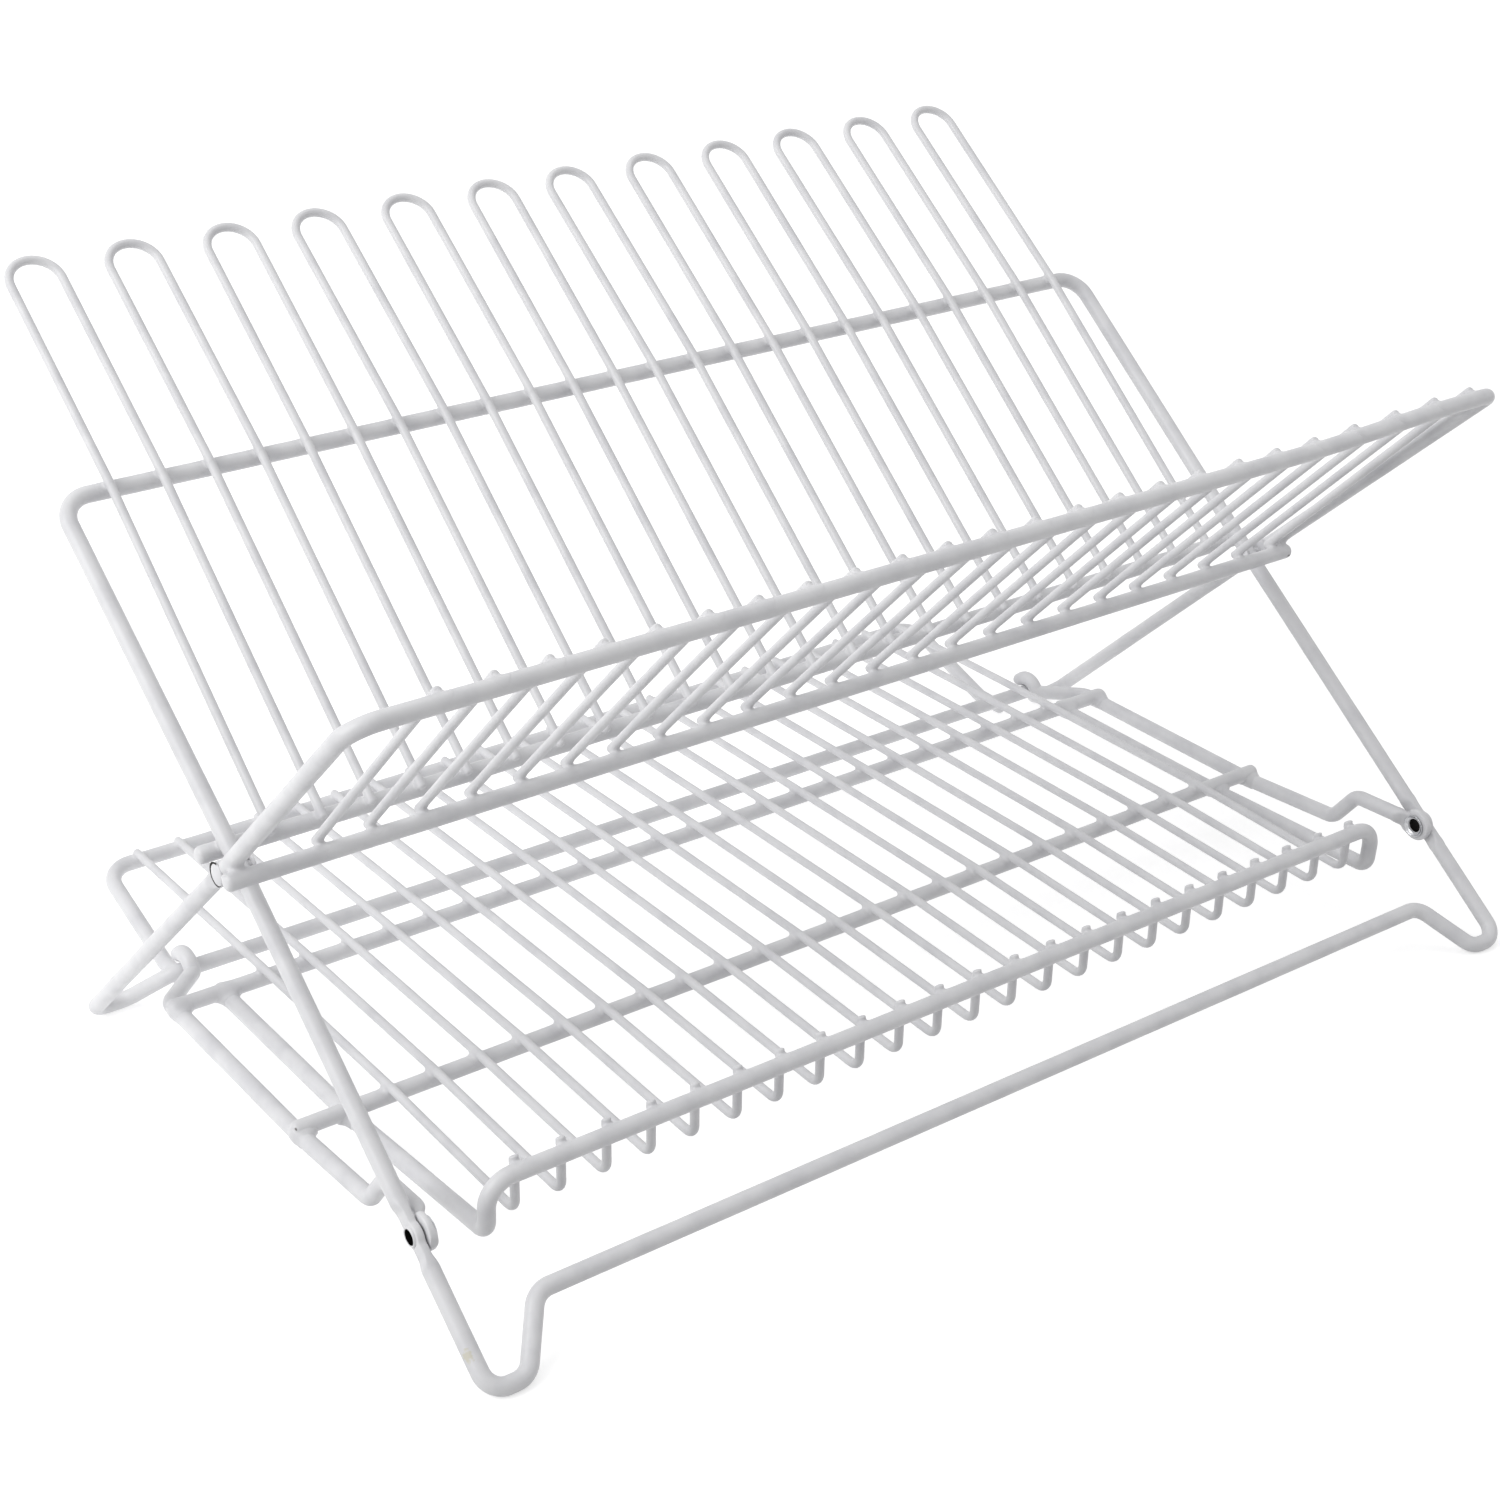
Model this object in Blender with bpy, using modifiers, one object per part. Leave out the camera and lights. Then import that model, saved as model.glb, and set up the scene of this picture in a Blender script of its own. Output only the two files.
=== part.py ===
"""Folding dish rack of white coated wire.

Two wire frames cross like an X and turn on a pair of rivets. The finger frame leans back and
carries twelve plate fingers. The grid frame leans forward and carries a row of straight wires.
A tray hangs on rivets at the finger frame's front legs and hooks over the grid frame's rear
rail, which locks the X open. Lengths are in metres, with Z up and the floor at zero.
"""
import math

import bmesh
import bpy
from mathutils import Matrix, Vector

# Wire stock and welds
HEAVY_WIRE = 0.0063
THIN_WIRE = 0.0034
WELD_GAP = 0.0003
WIRE_END_ROUNDING = 0.0012
CUT_OVERRUN = 0.004

# Finger frame: reaches are measured along its arms from the hinge axis
FINGER_SLOPE_DEGREES = 37.13
FINGER_TOP_REACH = 0.1493
FINGER_FOOT_REACH = 0.1894
FINGER_RAIL_RISE = 0.0232
HINGE_HALF_WIDTH = 0.2343
FINGER_TOP_FLARE = 0.0019
FINGER_FOOT_FLARE = 0.0010

# Grid frame: its feet reach down to the same floor as the finger frame's
GRID_SLOPE_DEGREES = 43.42
GRID_TOP_REACH = 0.1354
GRID_RAIL_RISE = 0.0204
GRID_TOP_FLARE = 0.0015
GRID_FOOT_FLARE = 0.0034
ARM_GAP = 0.0004

# Bends and feet that both frames share
TOP_BEND = 0.0105
FOOT_BEND = 0.0085
FOOT_INNER_BEND = 0.0080
RAIL_BEND = 0.0090
FOOT_WIDTH = 0.0140
FOOT_LEG_SLANT_DEGREES = 32.2
FOOT_FLAT_DEPTH = 0.0004

# Crossbars of the two frames
FINGER_BAR_REACH = 0.0110
FINGER_BAR_OVERHANG = 0.0029
GRID_BAR_REACH = 0.0140
GRID_BAR_OVERHANG = 0.0010

# Plate fingers
FINGER_COUNT = 12
FINGER_HEIGHT = 0.0966
FINGER_LOOP_WIDTH = 0.0194
FINGER_SIDE_GAP = 0.0177
WIRE_END_OVERHANG = 0.0026

# Straight wires of the grid, set off centre so that they fall between the fingers' legs
GRID_WIRE_COUNT = 24
GRID_GAP_LEFT = 0.0310
GRID_GAP_RIGHT = 0.0085
GRID_END_PROUD = 0.0004

# Main hinge rivets and the round bosses they pass through
HINGE_SHANK = 0.0032
HINGE_HEAD = 0.0094
HINGE_HEAD_HEIGHT = 0.0022
HINGE_SHOULDER_HEIGHT_SHARE = 0.5
HINGE_CROWN_SHARE = 0.55
HINGE_BOSS = 0.0090
HINGE_BOSS_INSET = 0.0003
RIVET_CLEARANCE = 0.0003

# Tray pivot: tubular rivets through the flattened legs
PIVOT_REACH = 0.1350
PIVOT_FLAT_THICKNESS = 0.0032
PIVOT_FLAT_LENGTH = 0.0180
PIVOT_BOSS = 0.0094
BOSS_PROUD = 0.0002
PIVOT_TUBE = 0.0060
PIVOT_TUBE_BORE = 0.0046
PIVOT_FLANGE = 0.0086
PIVOT_FLANGE_THICKNESS = 0.0008
LINK_EYE = 0.0130
LINK_EYE_THICKNESS = 0.0028
LINK_EYE_FLAT_LENGTH = 0.0150

# Tray: heights from the grid frame's rear rail, setbacks from the pivot or that rail,
# and insets from the finger frame's width at the hinge
TRAY_BAR_RISE = 0.0046
TRAY_BAR_INSET = 0.0023
TRAY_REAR_BAR_AHEAD = 0.0292
TRAY_FRONT_BAR_SETBACK = 0.0893
TRAY_OVERHANG = 0.0795
TRAY_SET_DOWN = 0.0024

# Tray wires, welded down into the front crossbar
TRAY_WIRE_COUNT = 23
TRAY_WELD_SINK = 0.0006
TRAY_WIRE_SIDE_GAP = 0.0140
TRAY_WIRE_BEND = 0.0045
TRAY_WIRE_SHIFT = 0.0008
TRAY_WIRE_SAG = 0.0028
TRAY_LIP_PROUD = 0.0012
TRAY_REAR_PROUD = 0.0006

# Tray rim: side rails, the upturned front corners and the front rail
RIM_INSET = 0.0248
RIM_FRONT_INSET = 0.0270
RIM_LIP_HEIGHT = 0.0203
RIM_LIP_SETBACK = 0.0024
RIM_VEE_SETBACK = 0.0034
RIM_VEE_RISE = 0.0014
RIM_VEE_BEND = 0.0046
RIM_CORNER_BEND = 0.0120
RIM_REAR_OVERHANG = 0.0040

# Rear bow of the tray
BOW_INSET = 0.0258
BOW_CORNER_BEND = 0.0100
BOW_TOE_BEND = 0.0080
BOW_TOE_BEHIND_RAIL = 0.0120
BOW_TOE_LENGTH = 0.0160
BOW_TOE_DROP = 0.0126

# Links: from the eye over a jog, along the tray and up into the hooks
LINK_EYE_GAP = 0.0004
LINK_INSET = 0.0055
LINK_NECK_LENGTH = 0.0091
LINK_NECK_RISE = 0.0019
LINK_JOG_SETBACK = 0.0296
LINK_JOG_RISE = 0.0009
LINK_LOW_SETBACK = 0.0406
LINK_LOW_ABOVE_BAR = 0.0010
LINK_BEND = 0.0070
HOOK_INSET = 0.0223
HOOK_CLEARANCE = 0.0007
HOOK_TIP_BEHIND_DEGREES = 20.0
LINK_REAR_OVERHANG = 0.0075

# Facets
HEAVY_BEVEL_RESOLUTION = 4
THIN_BEVEL_RESOLUTION = 2
ROD_SIDES = 12
THIN_ROD_SIDES = 8
BOSS_SIDES = 20
TURNED_STEPS = 16
END_ROUNDING_STEPS = 2
CREASE_DEGREES = 30.0
HEAVY_BEND_STEP_DEGREES = 18.0
THIN_BEND_STEP_DEGREES = 25.7

# Finishes: colour, roughness, metallic
FINISHES = {
    "white_coating": ((0.80, 0.81, 0.82, 1.0), 0.42, 0.0),
    "bare_steel": ((0.56, 0.56, 0.57, 1.0), 0.32, 1.0),
}

# Sizes that follow from the ones above
HEAVY_RADIUS = HEAVY_WIRE / 2
THIN_RADIUS = THIN_WIRE / 2
FINGER_SLOPE = math.radians(FINGER_SLOPE_DEGREES)
GRID_SLOPE = math.radians(GRID_SLOPE_DEGREES)
WIRE_LIFT = HEAVY_RADIUS + THIN_RADIUS + WELD_GAP
BAR_LIFT = HEAVY_WIRE + WELD_GAP
FINGER_RAIL_REACH = FINGER_FOOT_REACH - FINGER_RAIL_RISE
GRID_HALF_WIDTH = HINGE_HALF_WIDTH + HEAVY_WIRE + ARM_GAP
GRID_FOOT_REACH = FINGER_FOOT_REACH * math.sin(FINGER_SLOPE) / math.sin(GRID_SLOPE)
GRID_RAIL_REACH = GRID_FOOT_REACH - GRID_RAIL_RISE
FINGER_BAR_HALF_LENGTH = GRID_HALF_WIDTH + FINGER_BAR_OVERHANG
GRID_BAR_HALF_LENGTH = GRID_HALF_WIDTH + GRID_BAR_OVERHANG
FINGER_TIP_REACH = FINGER_TOP_REACH + FINGER_HEIGHT
TRAY_BAR_HALF_WIDTH = HINGE_HALF_WIDTH - TRAY_BAR_INSET
RIM_HALF_WIDTH = HINGE_HALF_WIDTH - RIM_INSET
RIM_FRONT_HALF_WIDTH = HINGE_HALF_WIDTH - RIM_FRONT_INSET
BOW_HALF_WIDTH = HINGE_HALF_WIDTH - BOW_INSET
LINK_HALF_WIDTH = HINGE_HALF_WIDTH - LINK_INSET
HOOK_HALF_WIDTH = HINGE_HALF_WIDTH - HOOK_INSET

# The origin is on the floor below the middle of the rack's length, width and depth
FRONT_REACH = FINGER_FOOT_REACH * math.cos(FINGER_SLOPE) + HEAVY_RADIUS
TIP_SETBACK = FINGER_TIP_REACH * math.cos(FINGER_SLOPE) - WIRE_LIFT * math.sin(FINGER_SLOPE)
GRID_RAIL_SETBACK = GRID_RAIL_REACH * math.cos(GRID_SLOPE)
REAR_REACH = max(TIP_SETBACK + THIN_RADIUS, GRID_RAIL_SETBACK + TRAY_OVERHANG + HEAVY_RADIUS)
HINGE_HEIGHT = FINGER_FOOT_REACH * math.sin(FINGER_SLOPE) + HEAVY_RADIUS - FOOT_FLAT_DEPTH
HINGE_AXIS = Vector((0.0, (FRONT_REACH - REAR_REACH) / 2, HINGE_HEIGHT))
PIVOT_DROP = Vector((0.0, -math.cos(FINGER_SLOPE), -math.sin(FINGER_SLOPE))) * PIVOT_REACH
PIVOT_AXIS = HINGE_AXIS + PIVOT_DROP

# Tray levels and setbacks, all from the pivot axis
RAIL_DROP = Vector((0.0, math.cos(GRID_SLOPE), -math.sin(GRID_SLOPE))) * GRID_RAIL_REACH
RAIL_AT = RAIL_DROP - PIVOT_DROP
BAR_LEVEL = RAIL_AT.z + TRAY_BAR_RISE
WIRE_LEVEL = BAR_LEVEL + WIRE_LIFT
FRONT_BAR_LEVEL = WIRE_LEVEL - HEAVY_RADIUS - THIN_RADIUS + TRAY_WELD_SINK
SET_DOWN_LEVEL = BAR_LEVEL - TRAY_SET_DOWN
REAR_BAR_SETBACK = RAIL_AT.y - TRAY_REAR_BAR_AHEAD
BOW_RAIL_SETBACK = RAIL_AT.y + TRAY_OVERHANG
LIP_LEVEL = BAR_LEVEL + RIM_LIP_HEIGHT


def arm_half_width(reach, hinge_half_width, top_flare, top_reach, foot_flare, foot_reach):
    """Half the width across a frame's arms at a reach, positive up the arm."""
    if reach > 0.0:
        return hinge_half_width + top_flare * reach / top_reach
    return hinge_half_width - foot_flare * reach / foot_reach


def bend(points_and_radii, closed=False, step_degrees=HEAVY_BEND_STEP_DEGREES):
    """Round each corner of a route with an arc of its radius and return the points."""
    count = len(points_and_radii)
    route = []
    for index, (corner, radius) in enumerate(points_and_radii):
        is_end = not closed and index in (0, count - 1)
        if is_end or radius <= 0.0:
            route.append(Vector(corner))
            continue
        before = Vector(points_and_radii[index - 1][0]) - Vector(corner)
        after = Vector(points_and_radii[(index + 1) % count][0]) - Vector(corner)
        interior = before.angle(after)
        turn = math.pi - interior
        tangent = min(radius * math.tan(turn / 2), before.length / 2, after.length / 2)
        arc_radius = tangent / math.tan(turn / 2)
        middle = (before.normalized() + after.normalized()).normalized()
        centre = Vector(corner) + middle * arc_radius / math.sin(interior / 2)
        start = Vector(corner) + before.normalized() * tangent - centre
        axis = before.cross(after).normalized()
        steps = max(1, round(math.degrees(turn) / step_degrees))
        for step in range(steps + 1):
            rotation = Matrix.Rotation(-turn * step / steps, 3, axis)
            route.append(centre + rotation @ start)
    return route


def arc(centre, radius, angles, point_at, step_degrees=HEAVY_BEND_STEP_DEGREES):
    """Points of an arc between two angles, each placed by point_at(centre, across, along)."""
    first, last = angles
    steps = max(1, round(abs(math.degrees(last - first)) / step_degrees))
    points = []
    for step in range(steps + 1):
        angle = first + (last - first) * step / steps
        points.append(point_at(centre, radius * math.cos(angle), radius * math.sin(angle)))
    return points


def both_sides(route, side):
    """Mirror a route to the left (-1) or leave it on the right (1)."""
    return [Vector((point.x * side, point.y, point.z)) for point in route]


class Rack:
    """The collections, materials and empties that every piece is placed in."""

    def __init__(self):
        for old in list(bpy.data.objects):
            bpy.data.objects.remove(old, do_unlink=True)
        self.parts = bpy.data.collections.new("folding_dish_rack")
        self.cutters = bpy.data.collections.new("cutters")
        for collection in (self.parts, self.cutters):
            bpy.context.scene.collection.children.link(collection)
        self.materials = {name: self.finish(name, *values) for name, values in FINISHES.items()}
        self.finger_plane = self.plane("finger_frame_plane", HINGE_AXIS, (FINGER_SLOPE, 0.0, 0.0))
        self.grid_plane = self.plane("grid_frame_plane", HINGE_AXIS, (GRID_SLOPE, 0.0, math.pi))
        self.tray_pivot = self.plane("tray_pivot", PIVOT_AXIS, (0.0, 0.0, 0.0))

    def finish(self, name, colour, roughness, metallic):
        """A Principled material."""
        material = bpy.data.materials.new(name)
        material.use_nodes = True
        shader = material.node_tree.nodes["Principled BSDF"]
        shader.inputs["Base Color"].default_value = colour
        shader.inputs["Roughness"].default_value = roughness
        shader.inputs["Metallic"].default_value = metallic
        return material

    def plane(self, name, place, rotation):
        """An empty whose X lies along an axis of rotation."""
        empty = bpy.data.objects.new(name, None)
        empty.location = place
        empty.rotation_euler = rotation
        self.parts.objects.link(empty)
        return empty

    def add(self, name, data, parent, finish="white_coating"):
        """Put new object data under an empty."""
        piece = bpy.data.objects.new(name, data)
        self.parts.objects.link(piece)
        piece.parent = parent
        if finish:
            data.materials.append(self.materials[finish])
        return piece

    def tube(self, name, routes, diameter, parent, closed=False, finish="white_coating"):
        """Bent wire along one or more routes, with filled ends."""
        curve = bpy.data.curves.new(name, "CURVE")
        curve.dimensions = "3D"
        curve.bevel_depth = diameter / 2
        is_thin = diameter < HEAVY_WIRE
        curve.bevel_resolution = THIN_BEVEL_RESOLUTION if is_thin else HEAVY_BEVEL_RESOLUTION
        curve.use_fill_caps = not closed
        for route in routes:
            spline = curve.splines.new("POLY")
            spline.points.add(len(route) - 1)
            for spline_point, point in zip(spline.points, route):
                spline_point.co = (*point, 1.0)
            spline.use_cyclic_u = closed
            spline.use_smooth = True
        return self.add(name, curve, parent, finish)

    def as_mesh(self, piece):
        """Turn a bent wire into a mesh with its caps welded on."""
        bpy.context.view_layer.update()
        evaluated = piece.evaluated_get(bpy.context.evaluated_depsgraph_get())
        mesh = bpy.data.meshes.new_from_object(evaluated)
        shape = bmesh.new()
        shape.from_mesh(mesh)
        bmesh.ops.remove_doubles(shape, verts=shape.verts, dist=WELD_GAP / ROD_SIDES)
        shape.to_mesh(mesh)
        shape.free()
        name = piece.name
        parent = piece.parent
        bpy.data.objects.remove(piece, do_unlink=True)
        mesh.name = name
        return self.add(name, mesh, parent, finish=None)

    def cylinder(self, name, start, end, diameter, parent, sides, finish="white_coating"):
        """A straight round rod between two points."""
        axis = Vector(end) - Vector(start)
        shape = bmesh.new()
        radius = diameter / 2
        bmesh.ops.create_cone(shape, cap_ends=True, segments=sides, radius1=radius,
                              radius2=radius, depth=axis.length)
        turn = axis.to_track_quat("Z", "X").to_matrix().to_4x4()
        middle = Matrix.Translation((Vector(start) + Vector(end)) / 2)
        bmesh.ops.transform(shape, matrix=middle @ turn, verts=shape.verts)
        mesh = bpy.data.meshes.new(name)
        shape.to_mesh(mesh)
        shape.free()
        mesh.shade_smooth()
        mesh.set_sharp_from_angle(angle=math.radians(CREASE_DEGREES))
        return self.add(name, mesh, parent, finish)

    def rod(self, name, start, end, parent):
        """A heavy crossbar with rounded ends."""
        piece = self.cylinder(name, start, end, HEAVY_WIRE, parent, ROD_SIDES)
        rounding = piece.modifiers.new("rounded ends", "BEVEL")
        rounding.width = WIRE_END_ROUNDING
        rounding.segments = END_ROUNDING_STEPS
        rounding.limit_method = "ANGLE"
        rounding.angle_limit = 2 * math.tau / ROD_SIDES
        return piece

    def box(self, name, centre, size, parent):
        """A box, used as a cutter."""
        shape = bmesh.new()
        bmesh.ops.create_cube(shape, size=1.0)
        bmesh.ops.scale(shape, vec=size, verts=shape.verts)
        bmesh.ops.translate(shape, vec=centre, verts=shape.verts)
        mesh = bpy.data.meshes.new(name)
        shape.to_mesh(mesh)
        shape.free()
        return self.add(name, mesh, parent, finish=None)

    def turned(self, name, profile, centre, side, parent, finish):
        """A turned piece on an X axis: profile points are (distance outward, radius)."""
        mesh = bpy.data.meshes.new(name)
        points = [(radius, 0.0, outward) for outward, radius in profile]
        edges = [(index, index + 1) for index in range(len(points) - 1)]
        mesh.from_pydata(points, edges, [])
        piece = self.add(name, mesh, parent, finish)
        piece.matrix_local = Matrix.Translation(centre) @ Matrix.Rotation(side * math.pi / 2, 4, "Y")
        screw = piece.modifiers.new("turn", "SCREW")
        screw.axis = "Z"
        screw.steps = TURNED_STEPS
        screw.render_steps = TURNED_STEPS
        screw.use_merge_vertices = True
        screw.merge_threshold = WELD_GAP / ROD_SIDES
        screw.use_smooth_shade = True
        return piece

    def combine(self, piece, tool, operation):
        """Cut a piece with a tool, or join the tool to it; the tool is put aside as a guide."""
        if tool.name in self.parts.objects:
            self.parts.objects.unlink(tool)
            self.cutters.objects.link(tool)
        tool.hide_render = True
        tool.display_type = "WIRE"
        boolean = piece.modifiers.new(tool.name, "BOOLEAN")
        boolean.object = tool
        boolean.operation = operation
        boolean.solver = "EXACT"

    def cut(self, piece, tool):
        """Take a tool's shape out of a piece."""
        self.combine(piece, tool, "DIFFERENCE")

    def join(self, piece, tool):
        """Make a tool's shape one with a piece."""
        self.combine(piece, tool, "UNION")

    def disc(self, name, half_width, inner, outer, centre, diameter, parent, side):
        """A short round block across an arm, from an inner to an outer half width."""
        start = Vector((side * (half_width + inner), centre.y, centre.z))
        end = Vector((side * (half_width + outer), centre.y, centre.z))
        return self.cylinder(name, start, end, diameter, parent, BOSS_SIDES, finish=None)


def frame_route(top_reach, foot_reach, rail_reach, half_widths):
    """The closed route of one frame in its own plane: top rail, arms, feet and bottom rail."""
    top_half, hinge_half, foot_half = half_widths
    foot_inner = foot_half - FOOT_WIDTH
    rail_half = foot_inner - (foot_reach - rail_reach) * math.tan(math.radians(FOOT_LEG_SLANT_DEGREES))
    right = [
        ((top_half, top_reach, 0.0), TOP_BEND),
        ((hinge_half, 0.0, 0.0), 0.0),
        ((foot_half, -foot_reach, 0.0), FOOT_BEND),
        ((foot_inner, -foot_reach, 0.0), FOOT_INNER_BEND),
        ((rail_half, -rail_reach, 0.0), RAIL_BEND),
    ]
    left = [((-x, y, z), radius) for (x, y, z), radius in reversed(right)]
    return bend(right + left, closed=True)


def flatten_arm(rack, piece, plane, half_width, reach, side):
    """Press an arm flat across its width around a pivot and give it a round boss."""
    half_flat = PIVOT_FLAT_THICKNESS / 2
    slab = HEAVY_RADIUS
    size = (slab, PIVOT_FLAT_LENGTH, HEAVY_WIRE + CUT_OVERRUN)
    for direction in (-1, 1):
        centre_x = side * half_width + direction * (half_flat - BOSS_PROUD + slab / 2)
        label = f"press_{side}_{direction}"
        rack.cut(piece, rack.box(label, (centre_x, -reach, 0.0), size, plane))
    centre = Vector((0.0, -reach, 0.0))
    boss = rack.disc(f"pivot_boss_{side}", half_width, -half_flat, half_flat, centre,
                     PIVOT_BOSS, plane, side)
    rack.join(piece, boss)
    bore = rack.disc(f"pivot_bore_{side}", half_width, -HEAVY_WIRE, HEAVY_WIRE, centre,
                     PIVOT_TUBE + 2 * RIVET_CLEARANCE, plane, side)
    rack.cut(piece, bore)


def add_hinge_bosses(rack, piece, plane, half_width, label):
    """Round bosses with rivet bores where an arm turns on the main hinge."""
    half_boss = HEAVY_RADIUS - HINGE_BOSS_INSET
    centre = Vector((0.0, 0.0, 0.0))
    for side in (-1, 1):
        boss = rack.disc(f"{label}_boss_{side}", half_width, -half_boss, half_boss, centre,
                         HINGE_BOSS, plane, side)
        rack.join(piece, boss)
        bore = rack.disc(f"{label}_bore_{side}", half_width, -HEAVY_WIRE, HEAVY_WIRE, centre,
                         HINGE_SHANK + 2 * RIVET_CLEARANCE, plane, side)
        rack.cut(piece, bore)


def flatten_feet(rack, piece, half_width, setback):
    """Cut the small flats that a frame stands on."""
    size = (2 * (FOOT_WIDTH + HEAVY_WIRE), 2 * (FOOT_WIDTH + HEAVY_WIRE), CUT_OVERRUN)
    for side in (-1, 1):
        centre = (side * half_width, setback, -CUT_OVERRUN / 2)
        rack.cut(piece, rack.box(f"floor_{piece.name}_{side}", centre, size, None))


def build_finger_frame(rack):
    """The rear-leaning frame with its crossbar and plate fingers."""
    plane = rack.finger_plane
    widths = (HINGE_HALF_WIDTH, FINGER_TOP_FLARE, FINGER_TOP_REACH, FINGER_FOOT_FLARE, FINGER_FOOT_REACH)
    top_half = arm_half_width(FINGER_TOP_REACH, *widths)
    foot_half = arm_half_width(-FINGER_FOOT_REACH, *widths)
    pivot_half = arm_half_width(-PIVOT_REACH, *widths)
    route = frame_route(FINGER_TOP_REACH, FINGER_FOOT_REACH, FINGER_RAIL_REACH,
                        (top_half, HINGE_HALF_WIDTH, foot_half))
    frame = rack.as_mesh(rack.tube("finger_frame_wire", [route], HEAVY_WIRE, plane, closed=True))
    for side in (-1, 1):
        flatten_arm(rack, frame, plane, pivot_half, PIVOT_REACH, side)
    add_hinge_bosses(rack, frame, plane, HINGE_HALF_WIDTH, "finger")
    foot_setback = HINGE_AXIS.y - FINGER_FOOT_REACH * math.cos(FINGER_SLOPE)
    flatten_feet(rack, frame, foot_half, foot_setback)

    bar_end = Vector((FINGER_BAR_HALF_LENGTH, FINGER_BAR_REACH, -BAR_LIFT))
    rack.rod("finger_crossbar", *[both_sides([bar_end], side)[0] for side in (-1, 1)], plane)
    build_plate_fingers(rack, plane, top_half)
    return pivot_half


def build_plate_fingers(rack, plane, top_half):
    """Twelve narrow loops that stand on the upper side of the top rail."""
    loop_radius = FINGER_LOOP_WIDTH / 2
    first = -top_half + FINGER_SIDE_GAP + loop_radius
    pitch = -2 * first / (FINGER_COUNT - 1)
    bar_height = WIRE_LIFT - BAR_LIFT
    low = Vector((0.0, FINGER_BAR_REACH - WIRE_END_OVERHANG, bar_height))
    rail = Vector((0.0, FINGER_TOP_REACH, WIRE_LIFT))
    tip = Vector((0.0, FINGER_TIP_REACH - loop_radius, WIRE_LIFT))
    for index in range(FINGER_COUNT):
        centre = Vector((first + index * pitch, 0.0, 0.0))
        reach = Vector((loop_radius, 0.0, 0.0))
        over = arc(centre + tip, loop_radius, (0.0, math.pi),
                   lambda middle, across, along: middle + Vector((across, along, 0.0)),
                   THIN_BEND_STEP_DEGREES)
        route = [centre + low + reach, centre + rail + reach]
        route += over
        route += [centre + rail - reach, centre + low - reach]
        rack.tube(f"plate_finger_{index + 1:02d}", [route], THIN_WIRE, plane)


def build_grid_frame(rack):
    """The forward-leaning frame with its crossbar and straight wires."""
    plane = rack.grid_plane
    widths = (GRID_HALF_WIDTH, GRID_TOP_FLARE, GRID_TOP_REACH, GRID_FOOT_FLARE, GRID_FOOT_REACH)
    top_half = arm_half_width(GRID_TOP_REACH, *widths)
    foot_half = arm_half_width(-GRID_FOOT_REACH, *widths)
    route = frame_route(GRID_TOP_REACH, GRID_FOOT_REACH, GRID_RAIL_REACH,
                        (top_half, GRID_HALF_WIDTH, foot_half))
    frame = rack.as_mesh(rack.tube("grid_frame_wire", [route], HEAVY_WIRE, plane, closed=True))
    add_hinge_bosses(rack, frame, plane, GRID_HALF_WIDTH, "grid")
    foot_setback = HINGE_AXIS.y + GRID_FOOT_REACH * math.cos(GRID_SLOPE)
    flatten_feet(rack, frame, foot_half, foot_setback)

    bar_end = Vector((GRID_BAR_HALF_LENGTH, GRID_BAR_REACH, -BAR_LIFT))
    rack.rod("grid_crossbar", *[both_sides([bar_end], side)[0] for side in (-1, 1)], plane)
    leftmost = top_half - GRID_GAP_LEFT
    pitch = (leftmost + top_half - GRID_GAP_RIGHT) / (GRID_WIRE_COUNT - 1)
    bar_height = WIRE_LIFT - BAR_LIFT
    rise = (WIRE_LIFT - bar_height) / (GRID_TOP_REACH - GRID_BAR_REACH)
    top_reach = GRID_TOP_REACH + GRID_END_PROUD
    low_reach = GRID_BAR_REACH - WIRE_END_OVERHANG
    for index in range(GRID_WIRE_COUNT):
        across = leftmost - index * pitch
        top = (across, top_reach, bar_height + rise * (top_reach - GRID_BAR_REACH))
        low = (across, low_reach, bar_height + rise * (low_reach - GRID_BAR_REACH))
        rack.cylinder(f"grid_wire_{index + 1:02d}", top, low, THIN_WIRE, plane, THIN_ROD_SIDES)


def rim_corners():
    """Right half of the rim from the rear crossbar to the front rail, as corners."""
    return [
        ((RIM_HALF_WIDTH, REAR_BAR_SETBACK + RIM_REAR_OVERHANG, SET_DOWN_LEVEL), 0.0),
        ((RIM_HALF_WIDTH, TRAY_FRONT_BAR_SETBACK, SET_DOWN_LEVEL), 0.0),
        ((RIM_FRONT_HALF_WIDTH, RIM_VEE_SETBACK, BAR_LEVEL + RIM_VEE_RISE), RIM_VEE_BEND),
        ((RIM_FRONT_HALF_WIDTH, RIM_LIP_SETBACK, LIP_LEVEL), RIM_CORNER_BEND),
    ]


def bow_corners():
    """Right half of the rear bow from its toe to the rear rail, as corners."""
    toe_level = RAIL_AT.z - BOW_TOE_DROP
    toe_end = RAIL_AT.y + BOW_TOE_BEHIND_RAIL
    return [
        ((BOW_HALF_WIDTH, toe_end, toe_level), 0.0),
        ((BOW_HALF_WIDTH, toe_end + BOW_TOE_LENGTH, toe_level), BOW_TOE_BEND),
        ((BOW_HALF_WIDTH, BOW_RAIL_SETBACK, BAR_LEVEL), BOW_CORNER_BEND),
    ]


def mirrored_bend(corners):
    """Bend a whole wire from the corners of its right half."""
    left = [((-x, y, z), radius) for (x, y, z), radius in reversed(corners)]
    return bend(corners + left)


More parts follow.
